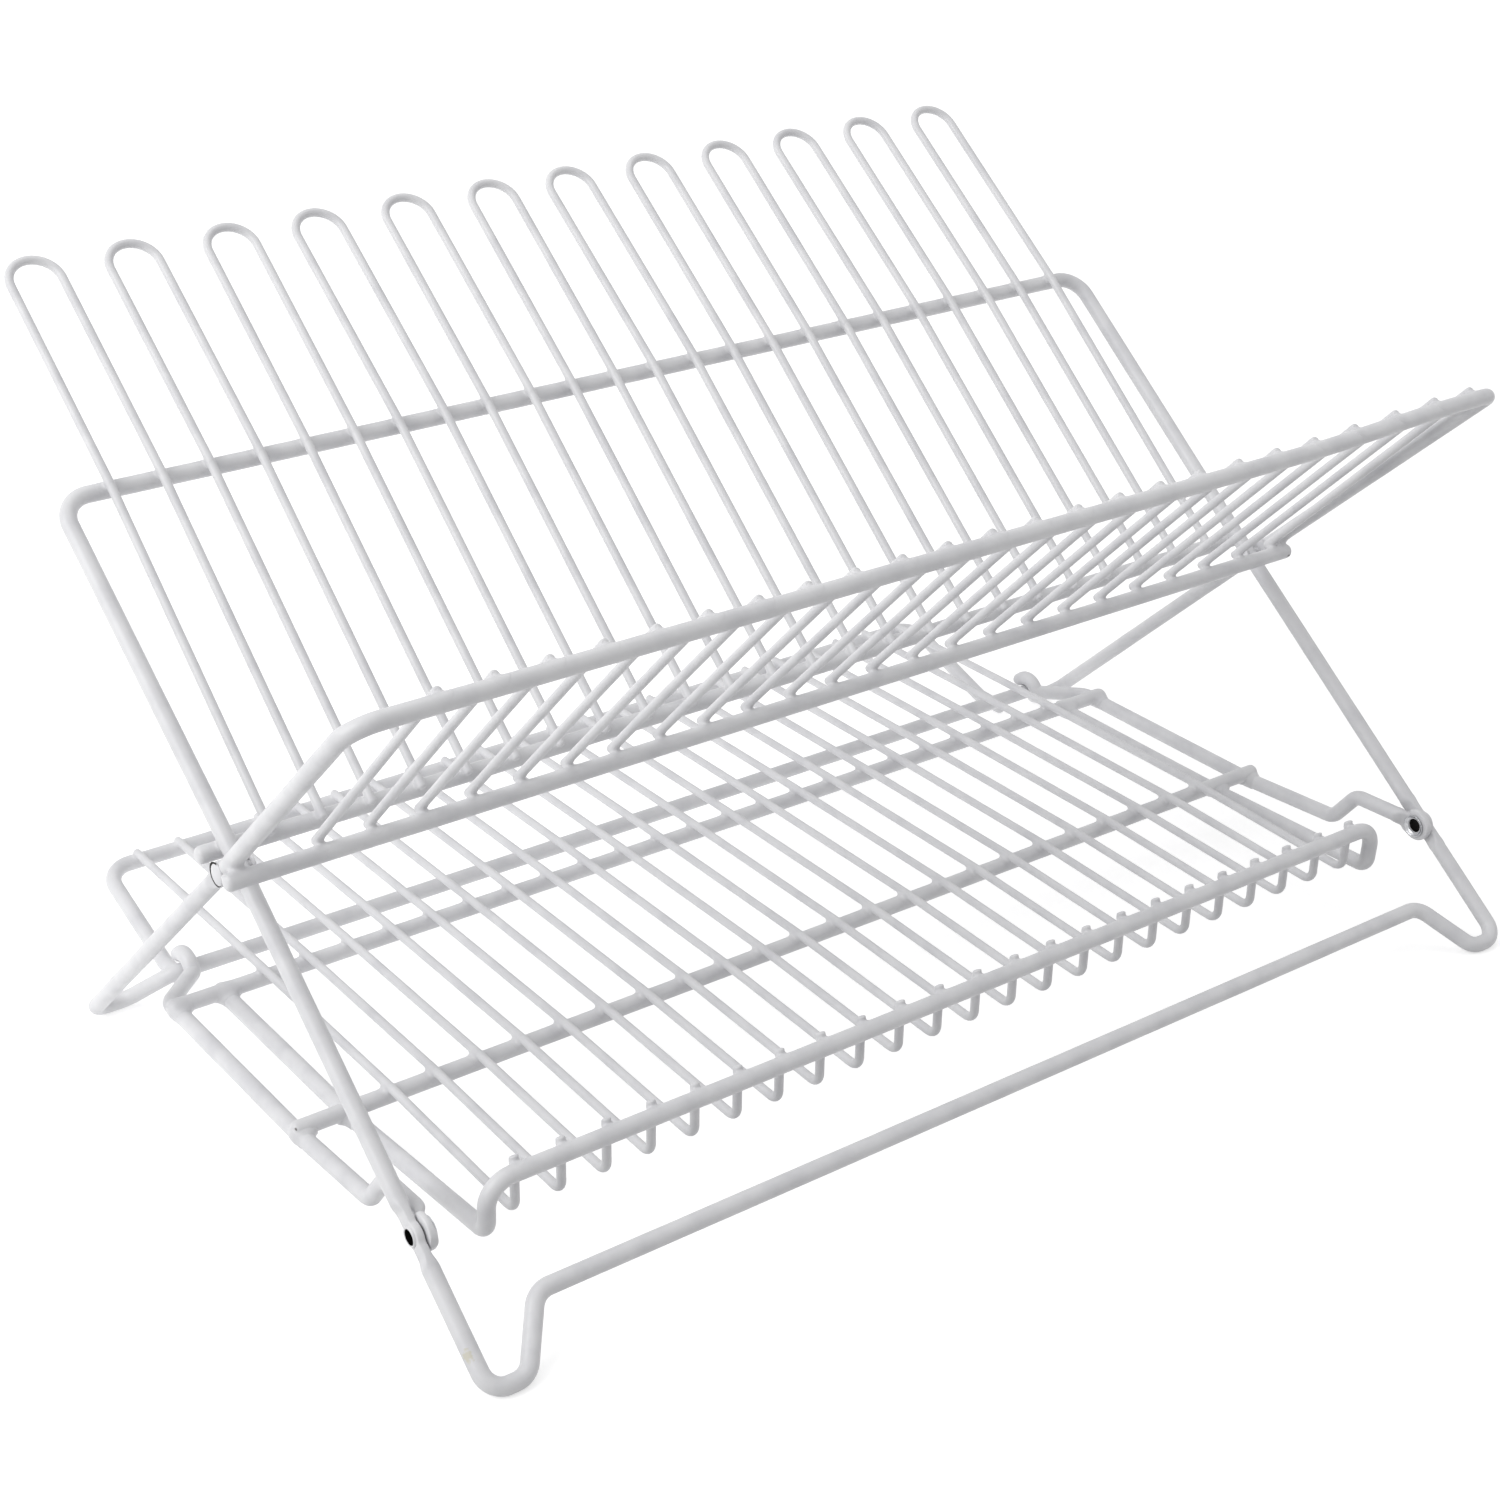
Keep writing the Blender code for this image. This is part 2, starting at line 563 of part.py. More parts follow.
def link_routes():
    """Right link in two lengths that meet under the rear crossbar: eye to bar, and bar to hook tip."""
    eye_half = link_eye_half_width()
    hook_radius = HEAVY_WIRE + HOOK_CLEARANCE
    leave_angle = math.pi - GRID_SLOPE
    behind_angle = math.radians(HOOK_TIP_BEHIND_DEGREES)
    hook_centre = Vector((HOOK_HALF_WIDTH, RAIL_AT.y, RAIL_AT.z))
    hook = arc(hook_centre, hook_radius, (leave_angle, behind_angle),
               lambda middle, back, up: middle + Vector((0.0, back, up)))
    fall = (hook[0].z - SET_DOWN_LEVEL) / math.sin(math.pi / 2 - GRID_SLOPE)
    limb_setback = hook[0].y - fall * math.cos(math.pi / 2 - GRID_SLOPE)
    meets = REAR_BAR_SETBACK
    eye_length = [
        ((eye_half, 0.0, 0.0), 0.0),
        ((LINK_HALF_WIDTH, LINK_NECK_LENGTH, LINK_NECK_RISE), LINK_BEND),
        ((LINK_HALF_WIDTH, LINK_JOG_SETBACK, LINK_JOG_RISE), LINK_BEND),
        ((LINK_HALF_WIDTH, LINK_LOW_SETBACK, BAR_LEVEL + LINK_LOW_ABOVE_BAR), LINK_BEND),
        ((LINK_HALF_WIDTH, TRAY_FRONT_BAR_SETBACK, SET_DOWN_LEVEL), 0.0),
        ((LINK_HALF_WIDTH, meets - WELD_GAP / 2, SET_DOWN_LEVEL), 0.0),
    ]
    hook_length = [
        ((LINK_HALF_WIDTH, meets + WELD_GAP / 2, SET_DOWN_LEVEL), 0.0),
        ((LINK_HALF_WIDTH, meets + LINK_REAR_OVERHANG, SET_DOWN_LEVEL), LINK_BEND),
        ((HOOK_HALF_WIDTH, limb_setback, SET_DOWN_LEVEL), LINK_BEND),
        (hook[0], 0.0),
    ]
    return bend(eye_length), bend(hook_length) + hook[1:]


def link_eye_half_width():
    """Half the width between the middles of the two link eyes."""
    widths = (HINGE_HALF_WIDTH, FINGER_TOP_FLARE, FINGER_TOP_REACH, FINGER_FOOT_FLARE, FINGER_FOOT_REACH)
    pivot_half = arm_half_width(-PIVOT_REACH, *widths)
    return pivot_half - PIVOT_FLAT_THICKNESS / 2 - LINK_EYE_GAP - LINK_EYE_THICKNESS / 2


def build_link(rack, side, label):
    """One link: a bent wire with an end pressed into an eye, and its hook as a second length."""
    pivot = rack.tray_pivot
    eye_length, hook_length = link_routes()
    rack.tube(f"tray_hook_{label}", [both_sides(hook_length, side)], HEAVY_WIRE, pivot)
    wire = rack.tube(f"tray_link_{label}", [both_sides(eye_length, side)], HEAVY_WIRE, pivot)
    link = rack.as_mesh(wire)
    eye_half = link_eye_half_width()
    half_eye = LINK_EYE_THICKNESS / 2
    slab = HEAVY_RADIUS
    size = (slab, LINK_EYE_FLAT_LENGTH + CUT_OVERRUN, HEAVY_WIRE + LINK_EYE)
    for direction in (-1, 1):
        centre_x = side * eye_half + direction * (half_eye - BOSS_PROUD + slab / 2)
        centre_y = LINK_EYE_FLAT_LENGTH / 2 - CUT_OVERRUN
        rack.cut(link, rack.box(f"eye_press_{side}_{direction}", (centre_x, centre_y, 0.0), size, pivot))
    middle = Vector((0.0, 0.0, 0.0))
    eye = rack.disc(f"eye_{side}", eye_half, -half_eye, half_eye, middle, LINK_EYE, pivot, side)
    rack.join(link, eye)
    bore = rack.disc(f"eye_bore_{side}", eye_half, -HEAVY_WIRE, HEAVY_WIRE, middle,
                     PIVOT_TUBE + 2 * RIVET_CLEARANCE, pivot, side)
    rack.cut(link, bore)


def tray_wire_route(across):
    """One tray wire: straight over the crossbars, then up behind the front rail."""
    lip_setback = RIM_LIP_SETBACK + WIRE_LIFT
    rear = BOW_RAIL_SETBACK + TRAY_REAR_PROUD
    corners = [
        ((across, rear, WIRE_LEVEL), 0.0),
        ((across, TRAY_FRONT_BAR_SETBACK, WIRE_LEVEL), 0.0),
        ((across, lip_setback, WIRE_LEVEL - TRAY_WIRE_SAG), TRAY_WIRE_BEND),
        ((across, lip_setback, LIP_LEVEL + TRAY_LIP_PROUD), 0.0),
    ]
    return bend(corners, step_degrees=THIN_BEND_STEP_DEGREES)


def notched_bar(rack, name, setback, level):
    """A crossbar of the tray, notched where it is pressed down over the rim and the links."""
    pivot = rack.tray_pivot
    ends = [Vector((side * TRAY_BAR_HALF_WIDTH, setback, level)) for side in (-1, 1)]
    bar = rack.rod(name, *ends, pivot)
    eye_length, hook_length = link_routes()
    whole_link = eye_length + hook_length
    for label, route in (("link", whole_link), ("rim", bend(rim_corners()[:-1]))):
        for side in (-1, 1):
            notch = rack.tube(f"notch_{name}_{label}_{side}", [both_sides(route, side)],
                              HEAVY_WIRE + 2 * WELD_GAP, pivot)
            rack.cut(bar, rack.as_mesh(notch))
    return bar


def build_tray(rack):
    """The tray: welded mat of wires, rear crossbar, rim, rear bow and the two links."""
    pivot = rack.tray_pivot
    mat = notched_bar(rack, "tray_wire_mat", TRAY_FRONT_BAR_SETBACK, FRONT_BAR_LEVEL)
    outermost = RIM_HALF_WIDTH - TRAY_WIRE_SIDE_GAP
    pitch = 2 * outermost / (TRAY_WIRE_COUNT - 1)
    first = TRAY_WIRE_SHIFT - outermost
    routes = [tray_wire_route(first + index * pitch) for index in range(TRAY_WIRE_COUNT)]
    wires = rack.as_mesh(rack.tube("tray_wires", routes, THIN_WIRE, pivot))
    rack.join(mat, wires)
    notched_bar(rack, "tray_rear_crossbar", REAR_BAR_SETBACK, BAR_LEVEL)

    rack.tube("tray_rim", [mirrored_bend(rim_corners())], HEAVY_WIRE, pivot)
    rack.tube("tray_rear_bow", [mirrored_bend(bow_corners())], HEAVY_WIRE, pivot)
    build_link(rack, -1, "left")
    build_link(rack, 1, "right")


def build_rivets(rack, pivot_half):
    """Solid rivets of the main hinge and tubular rivets of the tray."""
    inner = HINGE_HALF_WIDTH - HEAVY_RADIUS - WELD_GAP
    outer = GRID_HALF_WIDTH + HEAVY_RADIUS + WELD_GAP
    head = HINGE_HEAD / 2
    shoulder = HINGE_HEAD_HEIGHT * HINGE_SHOULDER_HEIGHT_SHARE
    crown = head * HINGE_CROWN_SHARE
    shank = HINGE_SHANK / 2
    hinge_profile = [
        (outer + HINGE_HEAD_HEIGHT, 0.0),
        (outer + HINGE_HEAD_HEIGHT, crown),
        (outer + shoulder, head),
        (outer, head),
        (outer, shank),
        (inner, shank),
        (inner, head),
        (inner - shoulder, head),
        (inner - HINGE_HEAD_HEIGHT, crown),
        (inner - HINGE_HEAD_HEIGHT, 0.0),
    ]
    tube_outer = pivot_half + PIVOT_FLAT_THICKNESS / 2 + RIVET_CLEARANCE
    tube_inner = link_eye_half_width() - LINK_EYE_THICKNESS / 2 - RIVET_CLEARANCE
    bore = PIVOT_TUBE_BORE / 2
    tube = PIVOT_TUBE / 2
    flange = PIVOT_FLANGE / 2
    pivot_profile = [
        (tube_inner - PIVOT_FLANGE_THICKNESS, bore),
        (tube_outer + PIVOT_FLANGE_THICKNESS, bore),
        (tube_outer + PIVOT_FLANGE_THICKNESS, flange),
        (tube_outer, flange),
        (tube_outer, tube),
        (tube_inner, tube),
        (tube_inner, flange),
        (tube_inner - PIVOT_FLANGE_THICKNESS, flange),
        (tube_inner - PIVOT_FLANGE_THICKNESS, bore),
    ]
    for side, label in ((-1, "left"), (1, "right")):
        rack.turned(f"hinge_rivet_{label}", hinge_profile, HINGE_AXIS, side, None, "white_coating")
        rack.turned(f"tray_rivet_{label}", pivot_profile, PIVOT_AXIS, side, None, "bare_steel")


def main():
    """Build the whole rack."""
    rack = Rack()
    pivot_half = build_finger_frame(rack)
    build_grid_frame(rack)
    build_tray(rack)
    build_rivets(rack, pivot_half)
    bpy.context.view_layer.update()


main()
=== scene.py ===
"""Looks of the folding dish rack: smooth coated wires, weld fillets, rivets, studio and camera.

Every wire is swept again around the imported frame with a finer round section, domed ends and the
coating's own unevenness. The joints between wires get the fillets that a dipped coating leaves.
"""
from __future__ import annotations

import logging
import math
from dataclasses import dataclass
from enum import Enum
from functools import lru_cache
from typing import ClassVar, Optional, Sequence

import bpy
import numpy as np
from mathutils import Euler, Matrix, Vector

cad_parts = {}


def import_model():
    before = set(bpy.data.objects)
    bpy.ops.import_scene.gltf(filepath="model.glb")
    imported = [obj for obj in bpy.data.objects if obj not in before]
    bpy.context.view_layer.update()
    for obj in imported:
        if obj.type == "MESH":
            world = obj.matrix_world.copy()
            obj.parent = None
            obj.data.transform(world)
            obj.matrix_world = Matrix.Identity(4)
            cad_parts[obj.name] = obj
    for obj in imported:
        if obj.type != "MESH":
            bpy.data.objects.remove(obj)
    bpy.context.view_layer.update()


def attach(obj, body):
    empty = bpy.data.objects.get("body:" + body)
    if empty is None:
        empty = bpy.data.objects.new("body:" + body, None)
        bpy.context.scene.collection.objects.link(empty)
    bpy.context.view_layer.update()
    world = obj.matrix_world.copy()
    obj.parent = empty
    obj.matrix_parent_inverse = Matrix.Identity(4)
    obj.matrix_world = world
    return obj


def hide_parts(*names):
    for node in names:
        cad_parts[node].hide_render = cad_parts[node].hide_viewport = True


LOG = logging.getLogger("dish_rack")
MM = 0.001
WHITE_SLOT = "white_coating"
STEEL_SLOT = "bare_steel"
SIDES = ((-1, "left"), (1, "right"))
ALONG_Y = Vector((0.0, 1.0, 0.0))
HALF_TURN = Matrix.Rotation(math.pi, 4, "Z")
Corner = tuple[tuple[float, float, float], float]


# Small tools


def linear(code: str) -> tuple[float, float, float, float]:
    """Turn an sRGB hex colour into linear RGBA.

    Args:
        code: six hex digits, with or without a leading sign.

    Returns:
        Linear red, green, blue and an alpha of one.
    """
    digits = code.lstrip("#")
    values = [int(digits[place:place + 2], 16) / 255 for place in (0, 2, 4)]
    red, green, blue = [v / 12.92 if v <= 0.04045 else ((v + 0.055) / 1.055) ** 2.4 for v in values]
    return red, green, blue, 1.0


def feed(tree: bpy.types.NodeTree, node: bpy.types.Node, sockets: dict) -> None:
    """Fill a node's inputs.

    Args:
        tree: the node tree that holds it.
        node: the node.
        sockets: input name or place to a value, or to an output socket that feeds it.
    """
    for name, value in sockets.items():
        if isinstance(value, bpy.types.NodeSocket):
            tree.links.new(value, node.inputs[name])
        else:
            node.inputs[name].default_value = value


def add_node(tree: bpy.types.NodeTree, kind: str, sockets: Optional[dict] = None,
             **settings: str | bool) -> bpy.types.Node:
    """Add a shader node with its settings and links.

    Args:
        tree: the node tree that gets it.
        kind: the node's type name.
        sockets: what its inputs get.
        settings: properties of the node itself.

    Returns:
        The new node.
    """
    node = tree.nodes.new(kind)
    for name, value in settings.items():
        setattr(node, name, value)
    feed(tree, node, sockets or {})
    return node


def noise(tree: bpy.types.NodeTree, place: bpy.types.NodeSocket, grain_mm: float, detail: float,
          roughness: float = 0.5) -> bpy.types.NodeSocket:
    """Add a noise whose grain has a real size, and give its value."""
    return add_node(tree, "ShaderNodeTexNoise", {
        "Vector": place, "Scale": 1 / (grain_mm * MM), "Detail": detail,
        "Roughness": roughness}).outputs["Fac"]


def ranged(tree: bpy.types.NodeTree, value: bpy.types.NodeSocket,
           source: tuple[float, float] = (0.0, 1.0), result: tuple[float, float] = (0.0, 1.0),
           easing: str = "LINEAR") -> bpy.types.NodeSocket:
    """Map a value from one range to another."""
    return add_node(tree, "ShaderNodeMapRange", {
        "Value": value, "From Min": source[0], "From Max": source[1], "To Min": result[0],
        "To Max": result[1]}, interpolation_type=easing).outputs["Result"]


def mixed(tree: bpy.types.NodeTree, share: bpy.types.NodeSocket | float,
          first: bpy.types.NodeSocket | tuple, second: bpy.types.NodeSocket | tuple,
          blend: str = "MIX") -> bpy.types.NodeSocket:
    """Mix two colours."""
    return add_node(tree, "ShaderNodeMix", {0: share, 6: first, 7: second}, data_type="RGBA",
                    blend_type=blend).outputs[2]


def node_material(name: str) -> tuple[bpy.types.Material, bpy.types.NodeTree, bpy.types.Node]:
    """Make a node material.

    Args:
        name: the material's name.

    Returns:
        The material, its node tree and its principled shader.
    """
    material = bpy.data.materials.new(name)
    material.use_nodes = True
    return material, material.node_tree, material.node_tree.nodes["Principled BSDF"]


def linked(name: str, data: bpy.types.ID) -> bpy.types.Object:
    """Make an object and put it in the scene.

    Args:
        name: the object's name.
        data: its mesh, lamp or camera.

    Returns:
        The new object.
    """
    obj = bpy.data.objects.new(name, data)
    bpy.context.scene.collection.objects.link(obj)
    return obj


def smooth_step(value: np.ndarray) -> np.ndarray:
    """Ease a share between nought and one."""
    share = np.clip(value, 0.0, 1.0)
    return share * share * (3.0 - 2.0 * share)


# Wire stock and centre lines


class Stock(Enum):
    """The two sizes of wire: diameter in metres and facets round the section."""

    HEAVY = (0.0063, 28)
    THIN = (0.0034, 18)

    @property
    def diameter(self) -> float:
        """Diameter over the coating, in metres."""
        return self.value[0]

    @property
    def radius(self) -> float:
        """Half the diameter."""
        return self.value[0] / 2

    @property
    def sides(self) -> int:
        """Facets round the section."""
        return self.value[1]


WELD_GAP = 0.3 * MM
WIRE_LIFT = Stock.HEAVY.radius + Stock.THIN.radius + WELD_GAP
SET_DOWN = 1.3 * MM
SUNK_LIFT = WIRE_LIFT - SET_DOWN
BAR_LIFT = Stock.HEAVY.diameter + WELD_GAP
BEND_STEP = math.radians(6.0)
SHORTEST_STEP = 1e-6
FINE_STEP = 0.8 * MM

# The coating's skin: shares of the wire's radius, and the slow waves along the wire
COAT_FULL = 0.995
COAT_UNEVEN = 0.016
LONG_WAVE = 17.1 * MM
SHORT_WAVE = 6.3 * MM
WAVE_PHASE = 1.7
SHORT_WAVE_PHASE = 2.3

# The section's shape: a superellipse, from round to nearly square where the wire is pressed
ROUND_POWER = 2.0
PRESSED_POWER = 5.0
PRESSED_WIDENING = 1.04

# The rounding of a wire's ends, in shares of its radius
DOME_SHARES = (0.0, 0.12, 0.3, 0.58, 1.0)
DOME_LENGTH = 0.62
DOME_TIP = 0.36
DOME_CLEARANCE = 1.2

# Pressed flats and the holes drilled in them for the tray's rivets
FLAT_THICKNESS = 3.2 * MM
EYE_THICKNESS = 2.8 * MM
EYE_GAP = 0.4 * MM
DRILL_HALF = 4.0 * MM
RIVET_HOLE = 5.8 * MM

# Bends that both frames share, and the bow of the rail with the drawn-out corner
TOP_BEND = 10.5 * MM
OUTER_FOOT_BEND = 8.5 * MM
INNER_FOOT_BEND = 8.0 * MM
RAIL_BEND = 9.0 * MM
SHARP_BEND = 3.4 * MM
FOOT_WIDTH = 14.0 * MM
FOOT_SLANT = math.radians(32.2)
BOW_CREST = 16.0 * MM
BOW_FOOT = 96.0 * MM
BOW_POINTS = 17


def bend(corners: Sequence[Corner], closed: bool = False) -> list[Vector]:
    """Round the corners of a centre line.

    Args:
        corners: corner points with the bend radius at each.
        closed: true for a wire that is welded to itself.

    Returns:
        Points along the centre line.
    """
    count = len(corners)
    route: list[Vector] = []
    for index, (corner, radius) in enumerate(corners):
        at = Vector(corner)
        if radius <= 0.0 or (not closed and index in (0, count - 1)):
            route.append(at)
            continue
        before = Vector(corners[index - 1][0]) - at
        after = Vector(corners[(index + 1) % count][0]) - at
        interior = before.angle(after)
        turn = math.pi - interior
        tangent = min(radius * math.tan(turn / 2), before.length / 2, after.length / 2)
        arc_radius = tangent / math.tan(turn / 2)
        middle = (before.normalized() + after.normalized()).normalized()
        centre = at + middle * arc_radius / math.sin(interior / 2)
        start = at + before.normalized() * tangent - centre
        axis = before.cross(after).normalized()
        steps = max(2, round(turn / BEND_STEP))
        for step in range(steps + 1):
            route.append(centre + Matrix.Rotation(-turn * step / steps, 3, axis) @ start)
    return route


def mirrored(corners: Sequence[Corner]) -> list[Corner]:
    """A whole symmetrical wire from the corners of its right half."""
    left = [((-x, y, z), radius) for (x, y, z), radius in reversed(corners)]
    return list(corners) + left


def on_side(route: Sequence[Vector], side: int) -> list[Vector]:
    """Mirror a route to the left (-1) or leave it on the right (1)."""
    return [Vector((point.x * side, point.y, point.z)) for point in route]


def divided(route: Sequence[Vector], longest: float, closed: bool) -> np.ndarray:
    """Put more points on the long straights of a route.

    Args:
        route: the points of the centre line.
        longest: the longest step that may stay, in metres.
        closed: true where the last point joins the first.

    Returns:
        An array of points.
    """
    points = [np.array(point, float) for point in route]
    pairs = list(zip(points, points[1:] + points[:1] if closed else points[1:]))
    out: list[np.ndarray] = []
    for start, end in pairs:
        length = float(np.linalg.norm(end - start))
        if length < SHORTEST_STEP:
            continue
        steps = max(1, math.ceil(length / longest))
        out += [start + (end - start) * step / steps for step in range(steps)]
    if not closed:
        out.append(points[-1])
    return np.array(out)


@dataclass(frozen=True)
class Pressing:
    """A place where a round wire is pressed flat across X and widened into a disc.

    Args:
        centre: the pivot that passes through it.
        thickness: across the flat, in metres.
        disc: diameter of the round boss, in metres.
        half_length: how far the flat reaches along the wire, in metres.
        ramp: length over which round turns into flat, in metres.
    """

    centre: Vector
    thickness: float
    disc: float
    half_length: float
    ramp: float


@dataclass
class Solid:
    """Vertices and faces of one closed body, before it becomes a mesh."""

    points: np.ndarray
    faces: list[tuple[int, ...]]

    def placed(self, matrix: Matrix) -> "Solid":
        """The same body moved by a matrix."""
        turn = np.array(matrix.to_3x3(), float)
        shift = np.array(matrix.translation, float)
        return Solid(self.points @ turn.T + shift, self.faces)

    def mesh(self, name: str) -> bpy.types.Mesh:
        """The body as a mesh."""
        mesh = bpy.data.meshes.new(name)
        mesh.from_pydata([tuple(point) for point in self.points], [], self.faces)
        return mesh


def merged(solids: Sequence[Solid]) -> Solid:
    """Put several bodies in one list of vertices and faces."""
    points: list[np.ndarray] = []
    faces: list[tuple[int, ...]] = []
    offset = 0
    for solid in solids:
        points.append(solid.points)
        faces += [tuple(index + offset for index in face) for face in solid.faces]
        offset += len(solid.points)
    return Solid(np.concatenate(points), faces)


def sweep(route: Sequence[Vector], stock: Stock, closed: bool = False,
          first_normal: Vector = Vector((1.0, 0.0, 0.0)), pressings: Sequence[Pressing] = (),
          seed: int = 0, longest: float = 5.0 * MM) -> Solid:
    """Sweep a wire's section along its centre line.

    Args:
        route: the centre line.
        stock: heavy or thin wire.
        closed: true for a wire without ends.
        first_normal: direction that the section starts from.
        pressings: places where the wire is pressed flat.
        seed: shifts the coating's slow unevenness along the wire.
        longest: longest step along a straight.

    Returns:
        The closed body of the wire.
    """
    points = divided(route, longest, closed)
    scale = np.ones(len(points))
    if not closed:
        points, scale = domed(points, stock.radius)
    if closed:
        tangents = np.roll(points, -1, 0) - np.roll(points, 1, 0)
    else:
        tangents = np.gradient(points, axis=0)
    tangents /= np.linalg.norm(tangents, axis=1)[:, None]
    steps = np.linalg.norm(np.diff(points, axis=0, prepend=points[:1]), axis=1)
    along = np.cumsum(steps)
    phase = seed * WAVE_PHASE
    uneven = (0.5 + 0.3 * np.sin(along / LONG_WAVE + phase)
              + 0.2 * np.sin(along / SHORT_WAVE + SHORT_WAVE_PHASE * phase))
    coat = scale * (COAT_FULL - COAT_UNEVEN * uneven)
    half_n = half_b = stock.radius * coat
    power = np.full(len(points), ROUND_POWER)
    for pressing in pressings:
        distance = np.linalg.norm(points - np.array(pressing.centre), axis=1)
        weight = smooth_step((pressing.half_length + pressing.ramp - distance) / pressing.ramp)
        round_edge = np.sqrt(np.clip((pressing.disc / 2) ** 2 - distance ** 2, 0.0, None))
        wide = np.maximum(round_edge, stock.radius * PRESSED_WIDENING * scale)
        half_n = half_n + (pressing.thickness / 2 - half_n) * weight
        half_b = half_b + (wide - half_b) * weight
        power = power + (PRESSED_POWER - power) * weight
    angles = np.arange(stock.sides) * math.tau / stock.sides
    cosine, sine = np.cos(angles), np.sin(angles)
    normal = np.array(first_normal, float)
    rings = []
    for at, tangent, n, b, p in zip(points, tangents, half_n, half_b, power):
        normal = normal - tangent * (normal @ tangent)
        normal /= np.linalg.norm(normal)
        binormal = np.cross(tangent, normal)
        across = np.sign(cosine) * np.abs(cosine) ** (2.0 / p) * n
        up = np.sign(sine) * np.abs(sine) ** (2.0 / p) * b
        rings.append(at + across[:, None] * normal + up[:, None] * binormal)
    return skinned(np.array(rings), closed)


def domed(points: np.ndarray, radius: float) -> tuple[np.ndarray, np.ndarray]:
    """Give both ends of a wire the rounding of its coating.

    Args:
        points: the centre line.
        radius: the wire's radius.

    Returns:
        The centre line with close rings at its ends, and the share of the radius at each.
    """
    shares = np.array(DOME_SHARES)
    length = radius * DOME_LENGTH
    sizes = DOME_TIP + (1.0 - DOME_TIP) * np.sqrt(1.0 - (1.0 - shares) ** 2)
    start = (points[1] - points[0]) / np.linalg.norm(points[1] - points[0])
    end = (points[-2] - points[-1]) / np.linalg.norm(points[-2] - points[-1])
    head = points[0] + start * (shares * length)[:, None]
    tail = points[-1] + end * (shares * length)[::-1, None]
    middle = points[1:-1]
    keep = np.linalg.norm(middle - points[0], axis=1) > length * DOME_CLEARANCE
    keep &= np.linalg.norm(middle - points[-1], axis=1) > length * DOME_CLEARANCE
    middle = middle[keep]
    scale = np.concatenate([sizes, np.ones(len(middle)), sizes[::-1]])
    return np.concatenate([head, middle, tail]), scale


def skinned(rings: np.ndarray, closed: bool) -> Solid:
    """Join rings of points into a closed skin.

    Args:
        rings: rings of equal length, in order.
        closed: true where the last ring joins the first; otherwise both ends get a cap.

    Returns:
        The closed body.
    """
    count, sides = rings.shape[:2]
    faces: list[tuple[int, ...]] = []
    for ring in range(count if closed else count - 1):
        first = ring * sides
        second = ((ring + 1) % count) * sides
        for side in range(sides):
            after = (side + 1) % sides
            faces.append((first + side, first + after, second + after, second + side))
    if not closed:
        faces.append(tuple(reversed(range(sides))))
        faces.append(tuple(range((count - 1) * sides, count * sides)))
    return Solid(rings.reshape(-1, 3), faces)


def turned(profile: Sequence[tuple[float, float]], centre: Vector, side: int,
           sides: int = 40) -> Solid:
    """Turn a closed profile round an axis along X.

    A profile that starts on the axis runs from its outward end to its inward one. Any other runs
    outward along its bore and back along its outside.

    Args:
        profile: (distance outward, radius) in metres; a radius of nought ends on the axis.
        centre: a point on the axis.
        side: -1 or 1, the way that outward points.
        sides: facets round the axis.

    Returns:
        The closed body.
    """
    rings = []
    angles = np.arange(sides) * math.tau / sides
    for outward, radius in profile:
        size = max(radius, 0.02 * MM)
        ring = np.stack([np.full(sides, side * outward), size * np.cos(angles),
                         size * np.sin(angles) * side], axis=1)
        rings.append(ring + np.array(centre))
    closed = profile[0][1] > 0.0
    solid = skinned(np.array(rings), closed)
    solid.faces = [tuple(reversed(face)) for face in solid.faces]
    return solid


# Weld fillets

WELD_BALL = 0.92
WELD_END_ROUNDING = 0.8
WELD_SKIN = 0.02 * MM
WELD_STEP = 0.45 * MM
@dataclass(frozen=True)
class Weld:
    """The coating's fillet where one wire is welded across another.

    The lower wire lies along local X through the origin and the upper one along local Y.

    Args:
        lower: radius of the lower wire.
        upper: radius of the upper wire.
        spread: distance between the two centre lines.
        pool: width over which the coating runs together.
        end: how far past the crossing the upper wire ends, or None where it runs on.
        lower_end: the same for the lower wire.
    """

    lower: float
    upper: float
    spread: float
    pool: float
    end: Optional[float] = None
    lower_end: Optional[float] = None

    @property
    def reach(self) -> float:
        """Radius of the ball that the fillet is cut to."""
        return WELD_BALL * (self.lower + self.upper)

    @property
    def middle(self) -> float:
        """Height of the ball's middle."""
        return min(self.lower, self.spread / 2)

    @staticmethod
    def past(along: np.ndarray, radius: float, end: Optional[float]) -> np.ndarray:
        """How far points lie past a wire's rounded end.

        Args:
            along: places along the wire.
            radius: the wire's radius.
            end: where it ends, or None where it runs on.

        Returns:
            The distance past the end, nought before it.
        """
        if end is None:
            return np.zeros_like(along)
        return np.maximum(along - (end - radius * WELD_END_ROUNDING), 0.0)

    def field(self, x: np.ndarray, y: np.ndarray, z: np.ndarray) -> np.ndarray:
        """Distance to the coating's skin, negative inside."""
        beyond = self.past(x, self.lower, self.lower_end)
        lower = np.sqrt(y ** 2 + z ** 2 + beyond ** 2) - self.lower
        beyond = self.past(y, self.upper, self.end)
        upper = np.sqrt(x ** 2 + (z - self.spread) ** 2 + beyond ** 2) - self.upper
        share = np.maximum(self.pool - np.abs(lower - upper), 0.0) / self.pool
        joined = np.minimum(lower, upper) - share ** 2 * self.pool / 4
        ball = np.sqrt(x ** 2 + y ** 2 + (z - self.middle) ** 2) - self.reach
        return np.maximum(joined + WELD_SKIN, ball)


